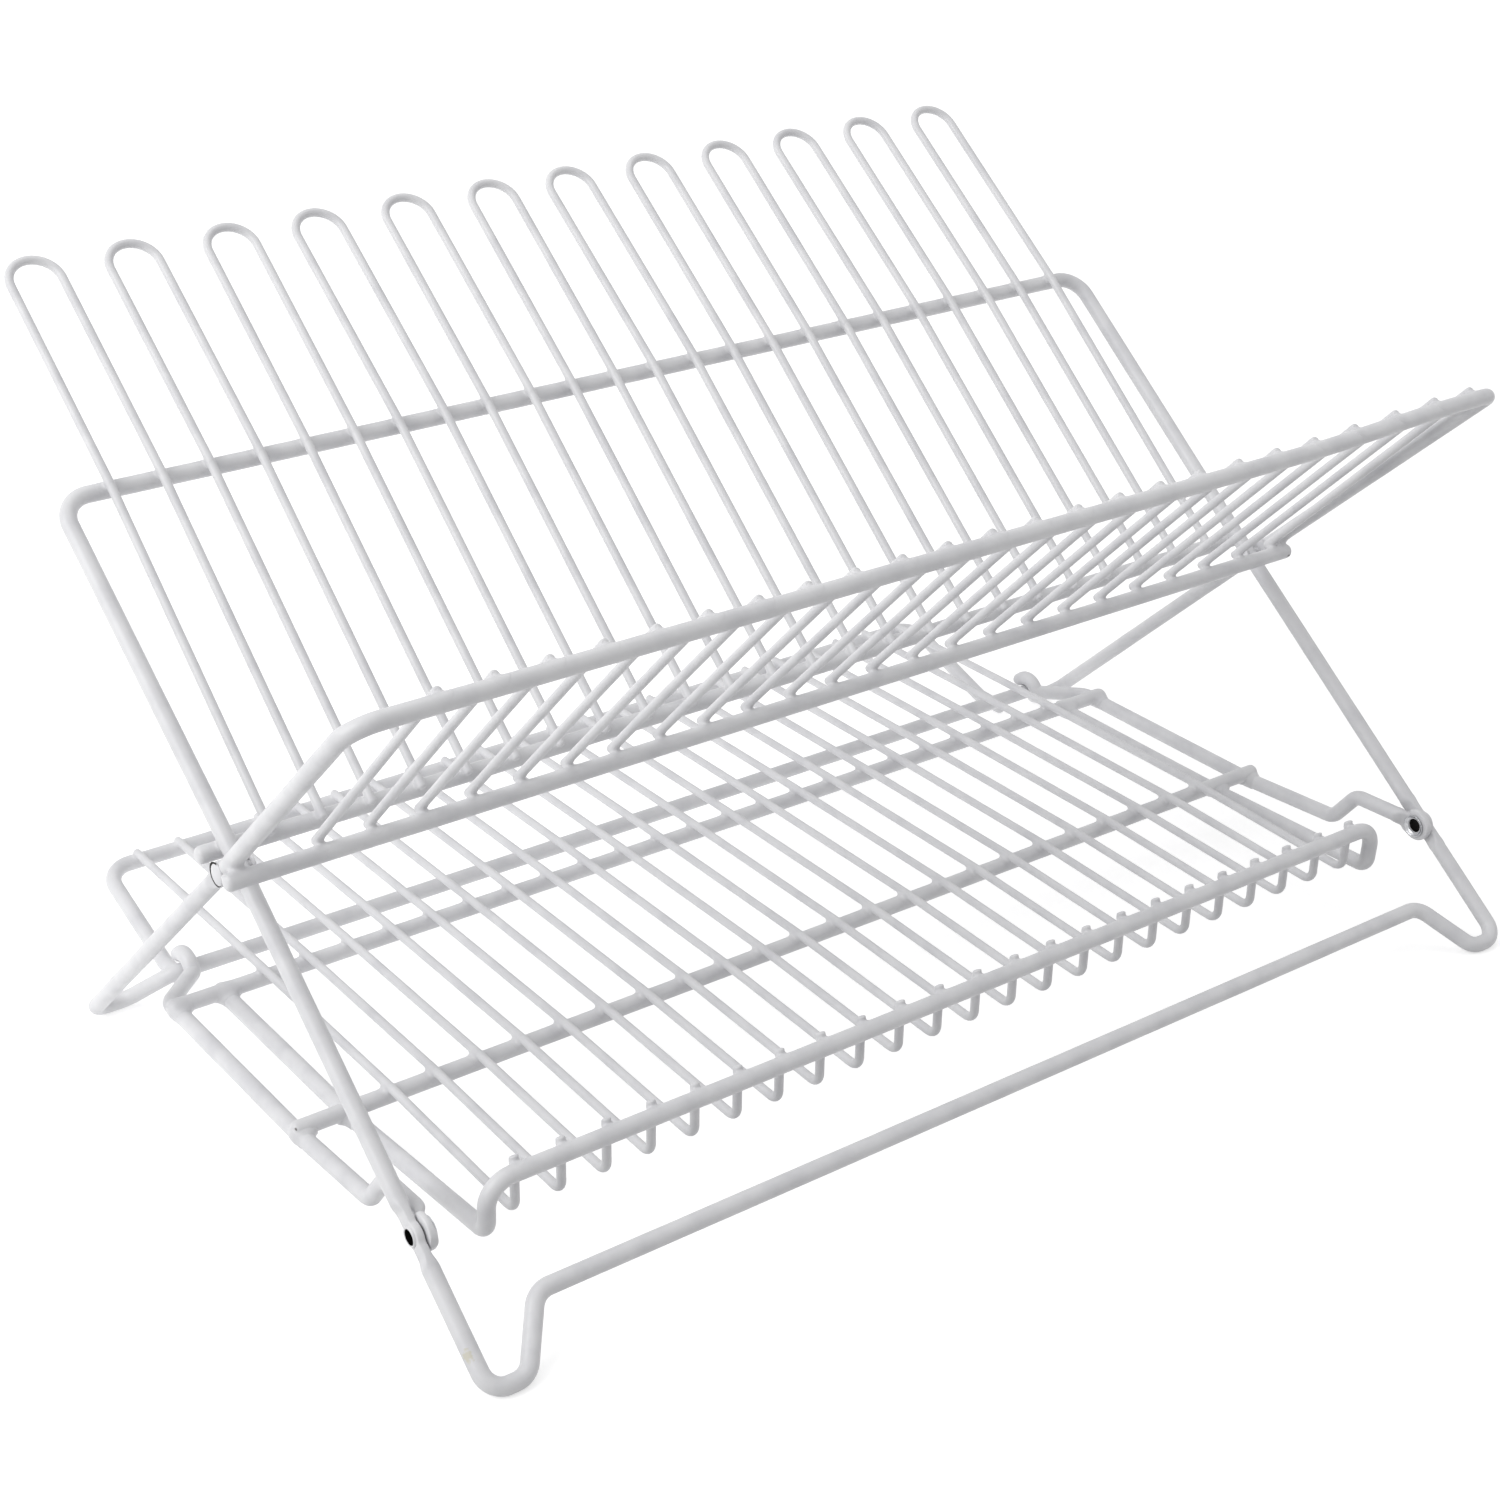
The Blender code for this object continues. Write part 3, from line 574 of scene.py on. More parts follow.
@lru_cache(maxsize=None)
def weld_solid(weld: Weld) -> Solid:
    """Mesh a weld's fillet as the skin of its field.

    Args:
        weld: the fillet.

    Returns:
        The closed body in the weld's own axes.
    """
    reach = weld.reach + 2 * WELD_STEP
    count = math.ceil(2 * reach / WELD_STEP)
    axis = (np.arange(count + 1) - count / 2) * WELD_STEP
    x, y, z = np.meshgrid(axis, axis, axis + weld.middle, indexing="ij")
    value = weld.field(x, y, z)
    grid = np.stack([x, y, z], -1)
    inside = value < 0.0
    corners = [(i, j, k) for i in (0, 1) for j in (0, 1) for k in (0, 1)]

    def cells(array: np.ndarray, corner: tuple[int, int, int]) -> np.ndarray:
        """The values at one corner of every grid cell."""
        i, j, k = corner
        return array[i:i + count, j:j + count, k:k + count]

    hits = sum(cells(inside, corner).astype(int) for corner in corners)
    mixed = (hits > 0) & (hits < 8)
    total = np.zeros(mixed.shape + (3,))
    number = np.zeros(mixed.shape)
    for a in corners:
        for b in corners:
            if sum(b) - sum(a) != 1 or any(q < p for p, q in zip(a, b)):
                continue
            va, vb = cells(value, a), cells(value, b)
            crossing = (va < 0.0) != (vb < 0.0)
            share = np.where(crossing, va / np.where(crossing, va - vb, 1.0), 0.0)[..., None]
            point = cells(grid, a) * (1 - share) + cells(grid, b) * share
            total += np.where(crossing[..., None], point, 0.0)
            number += crossing
    index = np.full(mixed.shape, -1)
    index[mixed] = np.arange(mixed.sum())
    points = total[mixed] / number[mixed][:, None]
    faces: list[tuple[int, ...]] = []
    for way in range(3):
        one, two = [other for other in range(3) if other != way]
        first = np.take(inside, range(count), axis=way)
        second = np.take(inside, range(1, count + 1), axis=way)
        changed = first != second
        for cell in np.argwhere(changed):
            if not (0 < cell[one] < count and 0 < cell[two] < count):
                continue
            ring = []
            for da, db in ((-1, -1), (0, -1), (0, 0), (-1, 0)):
                place = cell.copy()
                place[one] += da
                place[two] += db
                ring.append(int(index[tuple(place)]))
            outward = bool(first[tuple(cell)]) == (way != 1)
            faces.append(tuple(ring) if outward else tuple(reversed(ring)))
    return Solid(points, faces)


# Finishes


@dataclass(frozen=True)
class WearAndShadeMark:
    """A mark on the coating, a real scuff or a spot of painted shade: where it is, how far it
    reaches, and its colour.
    """

    place: tuple[float, float, float]
    reach: float
    colour: str


# Chips, flecks and one pale scuff on the wires; and two near-black spots of painted shade on the
# weld coating by the right hinge
COATING_SCUFFS = (
    WearAndShadeMark((-0.2453, 0.0990, 0.0044), 2.2 * MM, "#1C1A19"),
    WearAndShadeMark((0.2456, -0.1270, 0.2178), 1.5 * MM, "#2A2826"),
    WearAndShadeMark((-0.2387, -0.1630, 0.0130), 3.4 * MM, "#C6C3B6"),
    WearAndShadeMark((-0.2318, -0.0409, 0.0241), 1.0 * MM, "#6F6D6C"),
    WearAndShadeMark((0.2398, -0.0369, 0.1212), 1.6 * MM, "#3A3837"),
    WearAndShadeMark((0.2101, 0.0890, 0.0160), 1.3 * MM, "#2A2827"),
)
# Painted shade: two near-black spots on the weld coating by the right hinge, for the hinge's
# shadowed gaps.
HINGE_GAP_SHADE_SPOTS = (
    WearAndShadeMark((0.2228, -0.0350, 0.1245), 0.9 * MM, "#4A4847"),
    WearAndShadeMark((0.2206, -0.0352, 0.1238), 0.7 * MM, "#5A5857"),
)


@dataclass(frozen=True)
class DippedCoating:
    """Plastisol or nylon powder, melted on by dipping the hot welded wire into it.

    It gives the eye a thick satin skin: soft wide highlights, a faint orange peel a few
    millimetres wide, and slightly greyer, cooler patches where the coat is thinner.
    """

    name: str
    body_colour: str = "#D5D5D7"
    thin_colour: str = "#CBCBCE"
    roughness: float = 0.36
    roughness_below: float = 0.05
    roughness_above: float = 0.07
    specular_level: float = 0.34
    gloss_coat: float = 0.08
    gloss_roughness: float = 0.22
    patch_mm: float = 14.0
    peel_mm: float = 2.4
    peel_depth_mm: float = 0.12
    grit_mm: float = 0.35
    grit_depth_mm: float = 0.03
    ragged_mm: float = 1.1
    wear_and_shade_marks: tuple[WearAndShadeMark, ...] = ()

    def material(self) -> bpy.types.Material:
        """Make the node material."""
        material, tree, shader = node_material(self.name)
        place = add_node(tree, "ShaderNodeNewGeometry").outputs["Position"]
        patch = noise(tree, place, self.patch_mm, 3.0, 0.55)
        colour = mixed(tree, ranged(tree, patch, (0.42, 0.68)), linear(self.body_colour),
                       linear(self.thin_colour))
        for wear_and_shade_mark in self.wear_and_shade_marks:
            colour = self.marked(tree, place, colour, wear_and_shade_mark)
        low = add_node(tree, "ShaderNodeBump", {
            "Strength": 0.22, "Distance": self.peel_depth_mm * MM,
            "Height": noise(tree, place, self.peel_mm, 1.5)})
        fine = add_node(tree, "ShaderNodeBump", {
            "Strength": 0.12, "Distance": self.grit_depth_mm * MM,
            "Height": noise(tree, place, self.grit_mm, 2.0), "Normal": low.outputs["Normal"]})
        feed(tree, shader, {
            "Base Color": colour,
            "Roughness": ranged(tree, patch, (0.3, 0.7), (self.roughness - self.roughness_below,
                                                          self.roughness + self.roughness_above)),
            "IOR": 1.5, "Specular IOR Level": self.specular_level,
            "Coat Weight": self.gloss_coat, "Coat Roughness": self.gloss_roughness,
            "Normal": fine.outputs["Normal"]})
        return material

    def marked(self, tree: bpy.types.NodeTree, place: bpy.types.NodeSocket,
               base: bpy.types.NodeSocket, wear_and_shade_mark: WearAndShadeMark) -> bpy.types.NodeSocket:
        """Lay one mark over a colour.

        Args:
            tree: the material's nodes.
            place: the surface point.
            base: the colour under the mark.
            wear_and_shade_mark: the mark, a real scuff or a spot of painted shade.

        Returns:
            The colour with the mark on it.
        """
        away = add_node(tree, "ShaderNodeVectorMath", {0: place, 1: wear_and_shade_mark.place},
                        operation="DISTANCE")
        edge = add_node(tree, "ShaderNodeMath", {
            0: noise(tree, place, self.ragged_mm, 4.0), 1: wear_and_shade_mark.reach,
            2: away.outputs["Value"]}, operation="MULTIPLY_ADD")
        cover = ranged(tree, edge.outputs[0], (wear_and_shade_mark.reach * 1.35, wear_and_shade_mark.reach * 1.15))
        return mixed(tree, cover, base, linear(wear_and_shade_mark.colour))


@dataclass(frozen=True)
class DrawnSteel:
    """Bare steel tube, drawn and then rolled over cold, with a fine grain from the rolling tool.

    It gives the eye a grey metal with short soft glints on the flange.
    """

    name: str
    colour: str = "#C4C5C8"
    roughness: float = 0.26
    roughness_below: float = 0.08
    roughness_above: float = 0.12
    grain_mm: float = 0.25
    grain_depth_mm: float = 0.05
    tone: tuple[float, float] = (0.78, 1.08)

    def material(self) -> bpy.types.Material:
        """Make the node material."""
        material, tree, shader = node_material(self.name)
        place = add_node(tree, "ShaderNodeNewGeometry").outputs["Position"]
        grain = noise(tree, place, self.grain_mm, 3.0)
        bump = add_node(tree, "ShaderNodeBump", {
            "Strength": 0.25, "Distance": self.grain_depth_mm * MM, "Height": grain})
        feed(tree, shader, {
            "Base Color": mixed(tree, 1.0, linear(self.colour),
                                ranged(tree, grain, result=self.tone), "MULTIPLY"),
            "Metallic": 1.0,
            "Roughness": ranged(tree, grain, result=(self.roughness - self.roughness_below,
                                                     self.roughness + self.roughness_above)),
            "Normal": bump.outputs["Normal"]})
        return material


# The rack's own frame of measures


@dataclass(frozen=True)
class RackPlan:
    """Sizes that the sub-assemblies share, in metres, and the places that follow from them."""

    finger_slope: float = math.radians(37.13)
    finger_top: float = 0.1493
    finger_foot: float = 0.1894
    finger_rail_rise: float = 0.0232
    hinge_half: float = 0.2343
    finger_top_flare: float = 0.0019
    finger_foot_flare: float = 0.0010
    grid_slope: float = math.radians(43.42)
    grid_top: float = 0.1354
    grid_rail_rise: float = 0.0204
    grid_top_flare: float = 0.0015
    grid_foot_flare: float = 0.0034
    arm_gap: float = 0.0004
    finger_height: float = 0.0966
    foot_flat: float = 0.0004
    pivot_reach: float = 0.1350
    tray_overhang: float = 0.0795

    @property
    def finger_rail(self) -> float:
        """Reach of the front rail from the hinge."""
        return self.finger_foot - self.finger_rail_rise

    @property
    def grid_half(self) -> float:
        """Half the width of the grid frame at the hinge."""
        return self.hinge_half + Stock.HEAVY.diameter + self.arm_gap

    @property
    def grid_foot(self) -> float:
        """Reach of the grid frame's feet, which stand on the finger frame's floor."""
        return self.finger_foot * math.sin(self.finger_slope) / math.sin(self.grid_slope)

    @property
    def grid_rail(self) -> float:
        """Reach of the rear rail from the hinge."""
        return self.grid_foot - self.grid_rail_rise

    @property
    def hinge(self) -> Vector:
        """Middle of the hinge axis."""
        front = self.finger_foot * math.cos(self.finger_slope) + Stock.HEAVY.radius
        tip = (self.finger_top + self.finger_height) * math.cos(self.finger_slope)
        tip -= WIRE_LIFT * math.sin(self.finger_slope)
        rear = self.grid_rail * math.cos(self.grid_slope) + self.tray_overhang
        back = max(tip + Stock.THIN.radius, rear + Stock.HEAVY.radius)
        height = self.finger_foot * math.sin(self.finger_slope)
        height += Stock.HEAVY.radius - self.foot_flat
        return Vector((0.0, (front - back) / 2, height))

    @property
    def pivot(self) -> Vector:
        """Middle of the tray's pivot axis."""
        down = Vector((0.0, -math.cos(self.finger_slope), -math.sin(self.finger_slope)))
        return self.hinge + down * self.pivot_reach

    @property
    def rear_rail(self) -> Vector:
        """The rear rail's middle, measured from the tray's pivot."""
        back = Vector((0.0, math.cos(self.grid_slope), -math.sin(self.grid_slope)))
        return self.hinge + back * self.grid_rail - self.pivot

    @property
    def finger_plane(self) -> Matrix:
        """From the finger frame's own plane to the row frame."""
        turn = Euler((self.finger_slope, 0.0, 0.0)).to_matrix().to_4x4()
        return Matrix.Translation(self.hinge) @ turn

    @property
    def grid_plane(self) -> Matrix:
        """From the grid frame's own plane, whose X points left, to the row frame."""
        turn = Euler((self.grid_slope, 0.0, math.pi)).to_matrix().to_4x4()
        return Matrix.Translation(self.hinge) @ turn

    def finger_half(self, reach: float) -> float:
        """Half the width across the finger frame's arms at a reach."""
        if reach > 0.0:
            return self.hinge_half + self.finger_top_flare * reach / self.finger_top
        return self.hinge_half - self.finger_foot_flare * reach / self.finger_foot

    def grid_half_at(self, reach: float) -> float:
        """Half the width across the grid frame's arms at a reach."""
        if reach > 0.0:
            return self.grid_half + self.grid_top_flare * reach / self.grid_top
        return self.grid_half - self.grid_foot_flare * reach / self.grid_foot


PLAN = RackPlan()
SHARP_EDGE = math.radians(50.0)
class Workshop:
    """Makes meshes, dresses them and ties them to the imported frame."""

    def __init__(self) -> None:
        """Make the finishes."""
        self.coating = DippedCoating("dipped_white_coating", wear_and_shade_marks=COATING_SCUFFS).material()
        # The weld coating is a little darker than the rest: painted shade in the crevices at the
        # welds, with the pooled coat's own finer peel and lower roughness.
        self.pooled_and_shaded = DippedCoating("dipped_coating_pooled_and_painted_shade_at_welds", body_colour="#D4D4D6",
                                    thin_colour="#CACACD", roughness=0.34, peel_mm=1.6,
                                    wear_and_shade_marks=HINGE_GAP_SHADE_SPOTS).material()
        self.steel = DrawnSteel("rolled_steel_tube").material()
        # Near-black steel that is painted shade: the shadow in the hinge gaps and the shade inside
        # the tray rivets' bores.
        self.painted_shade_steel = DrawnSteel("near_black_steel_painted_as_shade", colour="#1B1A1A",
                                     roughness=0.6).material()

    def piece(self, name: str, solid: Solid, body: str, finish: bpy.types.Material, slot: str,
              replaces: Sequence[str] = ()) -> bpy.types.Object:
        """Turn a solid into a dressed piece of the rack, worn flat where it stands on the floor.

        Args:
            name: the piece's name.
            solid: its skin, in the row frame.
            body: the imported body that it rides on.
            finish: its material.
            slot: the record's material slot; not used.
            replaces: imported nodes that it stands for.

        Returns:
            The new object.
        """
        solid.points[:, 2] = np.maximum(solid.points[:, 2], 0.0)
        mesh = solid.mesh(name)
        mesh.shade_smooth()
        mesh.set_sharp_from_angle(angle=SHARP_EDGE)
        mesh.materials.append(finish)
        obj = linked(name, mesh)
        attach(obj, body)
        if replaces:
            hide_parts(*replaces)
        LOG.info("%s: %d points on %s", name, len(solid.points), body)
        return obj

    def bore(self, obj: bpy.types.Object, centre: Vector) -> None:
        """Drill a rivet's hole along X through a pressed wire.

        Args:
            obj: the piece.
            centre: middle of the hole.
        """
        radius = RIVET_HOLE / 2
        profile = [(DRILL_HALF, 0.0), (DRILL_HALF, radius), (-DRILL_HALF, radius),
                   (-DRILL_HALF, 0.0)]
        tool = linked("drill", turned(profile, centre, 1, 32).mesh("drill"))
        cut = obj.modifiers.new("bore", "BOOLEAN")
        cut.object = tool
        cut.solver = "EXACT"
        bpy.context.view_layer.update()
        evaluated = obj.evaluated_get(bpy.context.evaluated_depsgraph_get())
        carved = bpy.data.meshes.new_from_object(evaluated)
        obj.modifiers.clear()
        old = obj.data
        obj.data = carved
        bpy.data.meshes.remove(old)
        bpy.data.objects.remove(tool)


def bow_rise(inset: float, drawn_out: float) -> float:
    """How far the bent-up end of a top rail reaches past the rail's line.

    Args:
        inset: distance in from the drawn-out corner, in metres.
        drawn_out: the reach of the corner itself past the line.

    Returns:
        The extra reach at that place, in metres.
    """
    return drawn_out * float(smooth_step((BOW_FOOT - inset) / (BOW_FOOT - BOW_CREST)))


def frame_route(top: float, foot: float, rail: float, halves: Sequence[float],
                drawn_out: float = 0.0) -> list[Vector]:
    """Closed centre line of one frame in its own plane.

    Args:
        top: reach of the top rail.
        foot: reach of the feet.
        rail: reach of the bottom rail.
        halves: half widths at the top, the hinge and the feet.
        drawn_out: how far the last top corner reaches past the rail, sharply bent.

    Returns:
        The closed route.
    """
    top_half, hinge_half, foot_half = halves
    inner = foot_half - FOOT_WIDTH
    rail_half = inner - (foot - rail) * math.tan(FOOT_SLANT)
    corners = mirrored([
        ((top_half, top, 0.0), TOP_BEND),
        ((hinge_half, 0.0, 0.0), 0.0),
        ((foot_half, -foot, 0.0), OUTER_FOOT_BEND),
        ((inner, -foot, 0.0), INNER_FOOT_BEND),
        ((rail_half, -rail, 0.0), RAIL_BEND),
    ])
    if drawn_out:
        corners[-1] = ((-top_half, top + drawn_out, 0.0), SHARP_BEND)
        for inset in np.linspace(BOW_CREST, BOW_FOOT, BOW_POINTS):
            corners.append(((-top_half + inset, top + bow_rise(inset, drawn_out), 0.0), 0.0))
    return bend(corners, closed=True)


def straight_bar(ends: tuple[float, float], reach: float, level: float, seed: int) -> Solid:
    """A straight heavy wire across the rack, between two places along X."""
    route = [Vector((end, reach, level)) for end in ends]
    return sweep(route, Stock.HEAVY, first_normal=ALONG_Y, seed=seed)


HEAVY = Stock.HEAVY.radius
THIN = Stock.THIN.radius
THIN_OVER_HEAVY = Weld(HEAVY, THIN, WIRE_LIFT, 2.2 * MM)
THIN_END_OVER_HEAVY = Weld(HEAVY, THIN, WIRE_LIFT, 2.3 * MM, 2.4 * MM)
THIN_END_ON_RAIL = Weld(HEAVY, THIN, SUNK_LIFT, 1.5 * MM, 0.2 * MM)
BAR_UNDER_ARM = Weld(HEAVY, HEAVY, BAR_LIFT, 3.0 * MM)
BAR_END_UNDER_ARM = Weld(HEAVY, HEAVY, BAR_LIFT, 3.0 * MM, lower_end=0.3 * MM)


@dataclass
class Assembly:
    """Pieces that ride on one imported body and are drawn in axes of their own."""

    shop: Workshop
    body: ClassVar[str] = "finger_frame"

    @property
    def place(self) -> Matrix:
        """From the assembly's own axes to the row frame."""
        return Matrix.Identity(4)

    def coated(self, name: str, solid: Solid, replaces: Sequence[str] = ()) -> bpy.types.Object:
        """Place a solid and give it the white coating."""
        return self.shop.piece(name, solid.placed(self.place), self.body, self.shop.coating,
                               WHITE_SLOT, replaces)

    def fillet(self, weld: Weld, x: float, y: float, z: float,
               turn: Matrix = Matrix.Identity(4)) -> Solid:
        """A weld's fillet at a place in the assembly's axes, in the row frame."""
        return weld_solid(weld).placed(self.place @ Matrix.Translation((x, y, z)) @ turn)

    def welded(self, name: str, fillets: Sequence[Solid]) -> None:
        """Put a row of fillets in one piece, in the weld coating, painted a little darker as shade
        in the crevices.
        """
        self.shop.piece(name, merged(fillets), self.body, self.shop.pooled_and_shaded, WHITE_SLOT)


@dataclass
class FingerFrame(Assembly):
    """The rear-leaning frame with its crossbar and twelve plate fingers."""

    bar_reach: float = 0.0110
    bar_overhang: float = 0.0029
    finger_count: int = 12
    loop_width: float = 0.0194
    loop_steps: int = 30
    side_gap: float = 0.0177
    end_overhang: float = 0.0026
    tip_drop: float = 0.0003
    flat_half: float = 0.0075
    flat_ramp: float = 0.0050
    boss: float = 0.0094
    leans_mm: tuple[float, ...] = (-0.9, -0.9, 0.2, -1.1, -0.4, 0.3, -1.3, -0.5, -0.3, -1.0, -0.9,
                                   -0.9)

    @property
    def place(self) -> Matrix:
        """From the frame's own plane to the row frame."""
        return PLAN.finger_plane

    def build(self) -> None:
        """Build and dress every piece of the frame."""
        self.build_wire()
        self.build_crossbar()
        self.build_fingers()

    def build_wire(self) -> None:
        """The closed bent wire, pressed flat round the tray's rivets."""
        halves = [PLAN.finger_half(reach) for reach in (PLAN.finger_top, 0.0, -PLAN.finger_foot)]
        route = frame_route(PLAN.finger_top, PLAN.finger_foot, PLAN.finger_rail, halves)
        half = PLAN.finger_half(-PLAN.pivot_reach)
        pressings = [Pressing(Vector((side * half, -PLAN.pivot_reach, 0.0)), FLAT_THICKNESS,
                              self.boss, self.flat_half, self.flat_ramp) for side, _ in SIDES]
        solid = sweep(route, Stock.HEAVY, True, ALONG_Y, pressings, 1, FINE_STEP)
        wire = self.coated("finger_frame_bent_wire", solid, ["finger_frame_wire"])
        for side, _ in SIDES:
            self.shop.bore(wire, Vector((side * half, PLAN.pivot.y, PLAN.pivot.z)))

    def build_crossbar(self) -> None:
        """The straight bar welded below the arms."""
        end = PLAN.grid_half + self.bar_overhang
        self.coated("finger_frame_crossbar",
                    straight_bar((-end, end), self.bar_reach, -BAR_LIFT, 2), ["finger_crossbar"])
        half = PLAN.finger_half(self.bar_reach)
        self.welded("finger_crossbar_welds", [
            self.fillet(BAR_UNDER_ARM, side * half, self.bar_reach, -BAR_LIFT)
            for side, _ in SIDES])

    def build_fingers(self) -> None:
        """Twelve loops on the upper side of the top rail, each a little off true."""
        radius = self.loop_width / 2
        first = -PLAN.finger_half(PLAN.finger_top) + self.side_gap + radius
        pitch = -2 * first / (self.finger_count - 1)
        low = self.bar_reach - self.end_overhang
        tip = PLAN.finger_top + PLAN.finger_height - radius - self.tip_drop
        fillets = []
        for index in range(self.finger_count):
            centre = first + index * pitch
            lean = self.leans_mm[index] * MM
            route = [Vector((centre + radius, low, WIRE_LIFT - BAR_LIFT)),
                     Vector((centre + radius, PLAN.finger_top, WIRE_LIFT))]
            for step in range(self.loop_steps + 1):
                angle = math.pi * step / self.loop_steps
                route.append(Vector((centre + lean + radius * math.cos(angle),
                                     tip + radius * math.sin(angle), WIRE_LIFT)))
            route += [Vector((centre - radius, PLAN.finger_top, WIRE_LIFT)),
                      Vector((centre - radius, low, WIRE_LIFT - BAR_LIFT))]
            self.coated(f"plate_finger_loop_{index + 1:02d}",
                        sweep(route, Stock.THIN, seed=10 + index),
                        [f"plate_finger_{index + 1:02d}"])
            for side, _ in SIDES:
                x = centre + side * radius
                fillets += [self.fillet(THIN_OVER_HEAVY, x, PLAN.finger_top, 0.0),
                            self.fillet(THIN_END_OVER_HEAVY, x, self.bar_reach, -BAR_LIFT,
                                        HALF_TURN)]
        self.welded("plate_finger_welds", fillets)


@dataclass
class GridFrame(Assembly):
    """The forward-leaning frame with its crossbar and row of straight wires."""

    body: ClassVar[str] = "grid_frame"
    bar_reach: float = 0.0140
    bar_overhang_left: float = 0.0060
    bar_overhang_right: float = 0.0010
    wire_count: int = 24
    gap_left: float = 0.0310
    gap_right: float = 0.0085
    end_proud: float = 0.0004
    end_overhang: float = 0.0026
    drawn_out: float = 0.0085
    hinge_flat: float = 0.0024
    hinge_boss: float = 0.0090
    hinge_flat_half: float = 0.0048
    hinge_flat_ramp: float = 0.0035

    @property
    def place(self) -> Matrix:
        """From the frame's own plane to the row frame."""
        return PLAN.grid_plane

    def build(self) -> None:
        """Build and dress every piece of the frame."""
        self.build_wire()
        self.build_crossbar()
        self.build_grid()

    def build_wire(self) -> None:
        """The closed bent wire, pressed flat round the hinge rivets."""
        halves = [PLAN.grid_half_at(reach) for reach in (PLAN.grid_top, 0.0, -PLAN.grid_foot)]
        route = frame_route(PLAN.grid_top, PLAN.grid_foot, PLAN.grid_rail, halves, self.drawn_out)
        pressings = [Pressing(Vector((side * PLAN.grid_half, 0.0, 0.0)), self.hinge_flat,
                              self.hinge_boss, self.hinge_flat_half, self.hinge_flat_ramp)
                     for side, _ in SIDES]
        solid = sweep(route, Stock.HEAVY, True, ALONG_Y, pressings, 3, FINE_STEP)
        self.coated("grid_frame_bent_wire", solid, ["grid_frame_wire"])

    def build_crossbar(self) -> None:
        """The straight bar welded in front of the arms, longer at the rack's left."""
        ends = (-PLAN.grid_half - self.bar_overhang_right, PLAN.grid_half + self.bar_overhang_left)
        self.coated("grid_frame_crossbar", straight_bar(ends, self.bar_reach, -BAR_LIFT, 4),
                    ["grid_crossbar"])
        half = PLAN.grid_half_at(self.bar_reach)
        self.welded("grid_crossbar_welds", [
            self.fillet(BAR_END_UNDER_ARM, -half, self.bar_reach, -BAR_LIFT, HALF_TURN),
            self.fillet(BAR_UNDER_ARM, half, self.bar_reach, -BAR_LIFT)])

    def build_grid(self) -> None:
        """Straight wires from the crossbar to the top rail, with their ends coated over."""
        top_half = PLAN.grid_half_at(PLAN.grid_top)
        leftmost = top_half - self.gap_left
        pitch = (leftmost + top_half - self.gap_right) / (self.wire_count - 1)
        bar_height = WIRE_LIFT - BAR_LIFT
        low = self.bar_reach - self.end_overhang
        fillets = []
        for index in range(self.wire_count):
            x = leftmost - index * pitch
            rail = PLAN.grid_top + bow_rise(top_half + x, self.drawn_out)
            rise = (SUNK_LIFT - bar_height) / (rail - self.bar_reach)
            route = [Vector((x, reach, bar_height + rise * (reach - self.bar_reach)))
                     for reach in (low, rail + self.end_proud)]
            self.coated(f"grid_straight_wire_{index + 1:02d}",
                        sweep(route, Stock.THIN, seed=40 + index), [f"grid_wire_{index + 1:02d}"])
            fillets += [self.fillet(THIN_END_ON_RAIL, x, rail, 0.0),
                        self.fillet(THIN_END_OVER_HEAVY, x, self.bar_reach, -BAR_LIFT, HALF_TURN)]
        self.welded("grid_wire_welds", fillets)


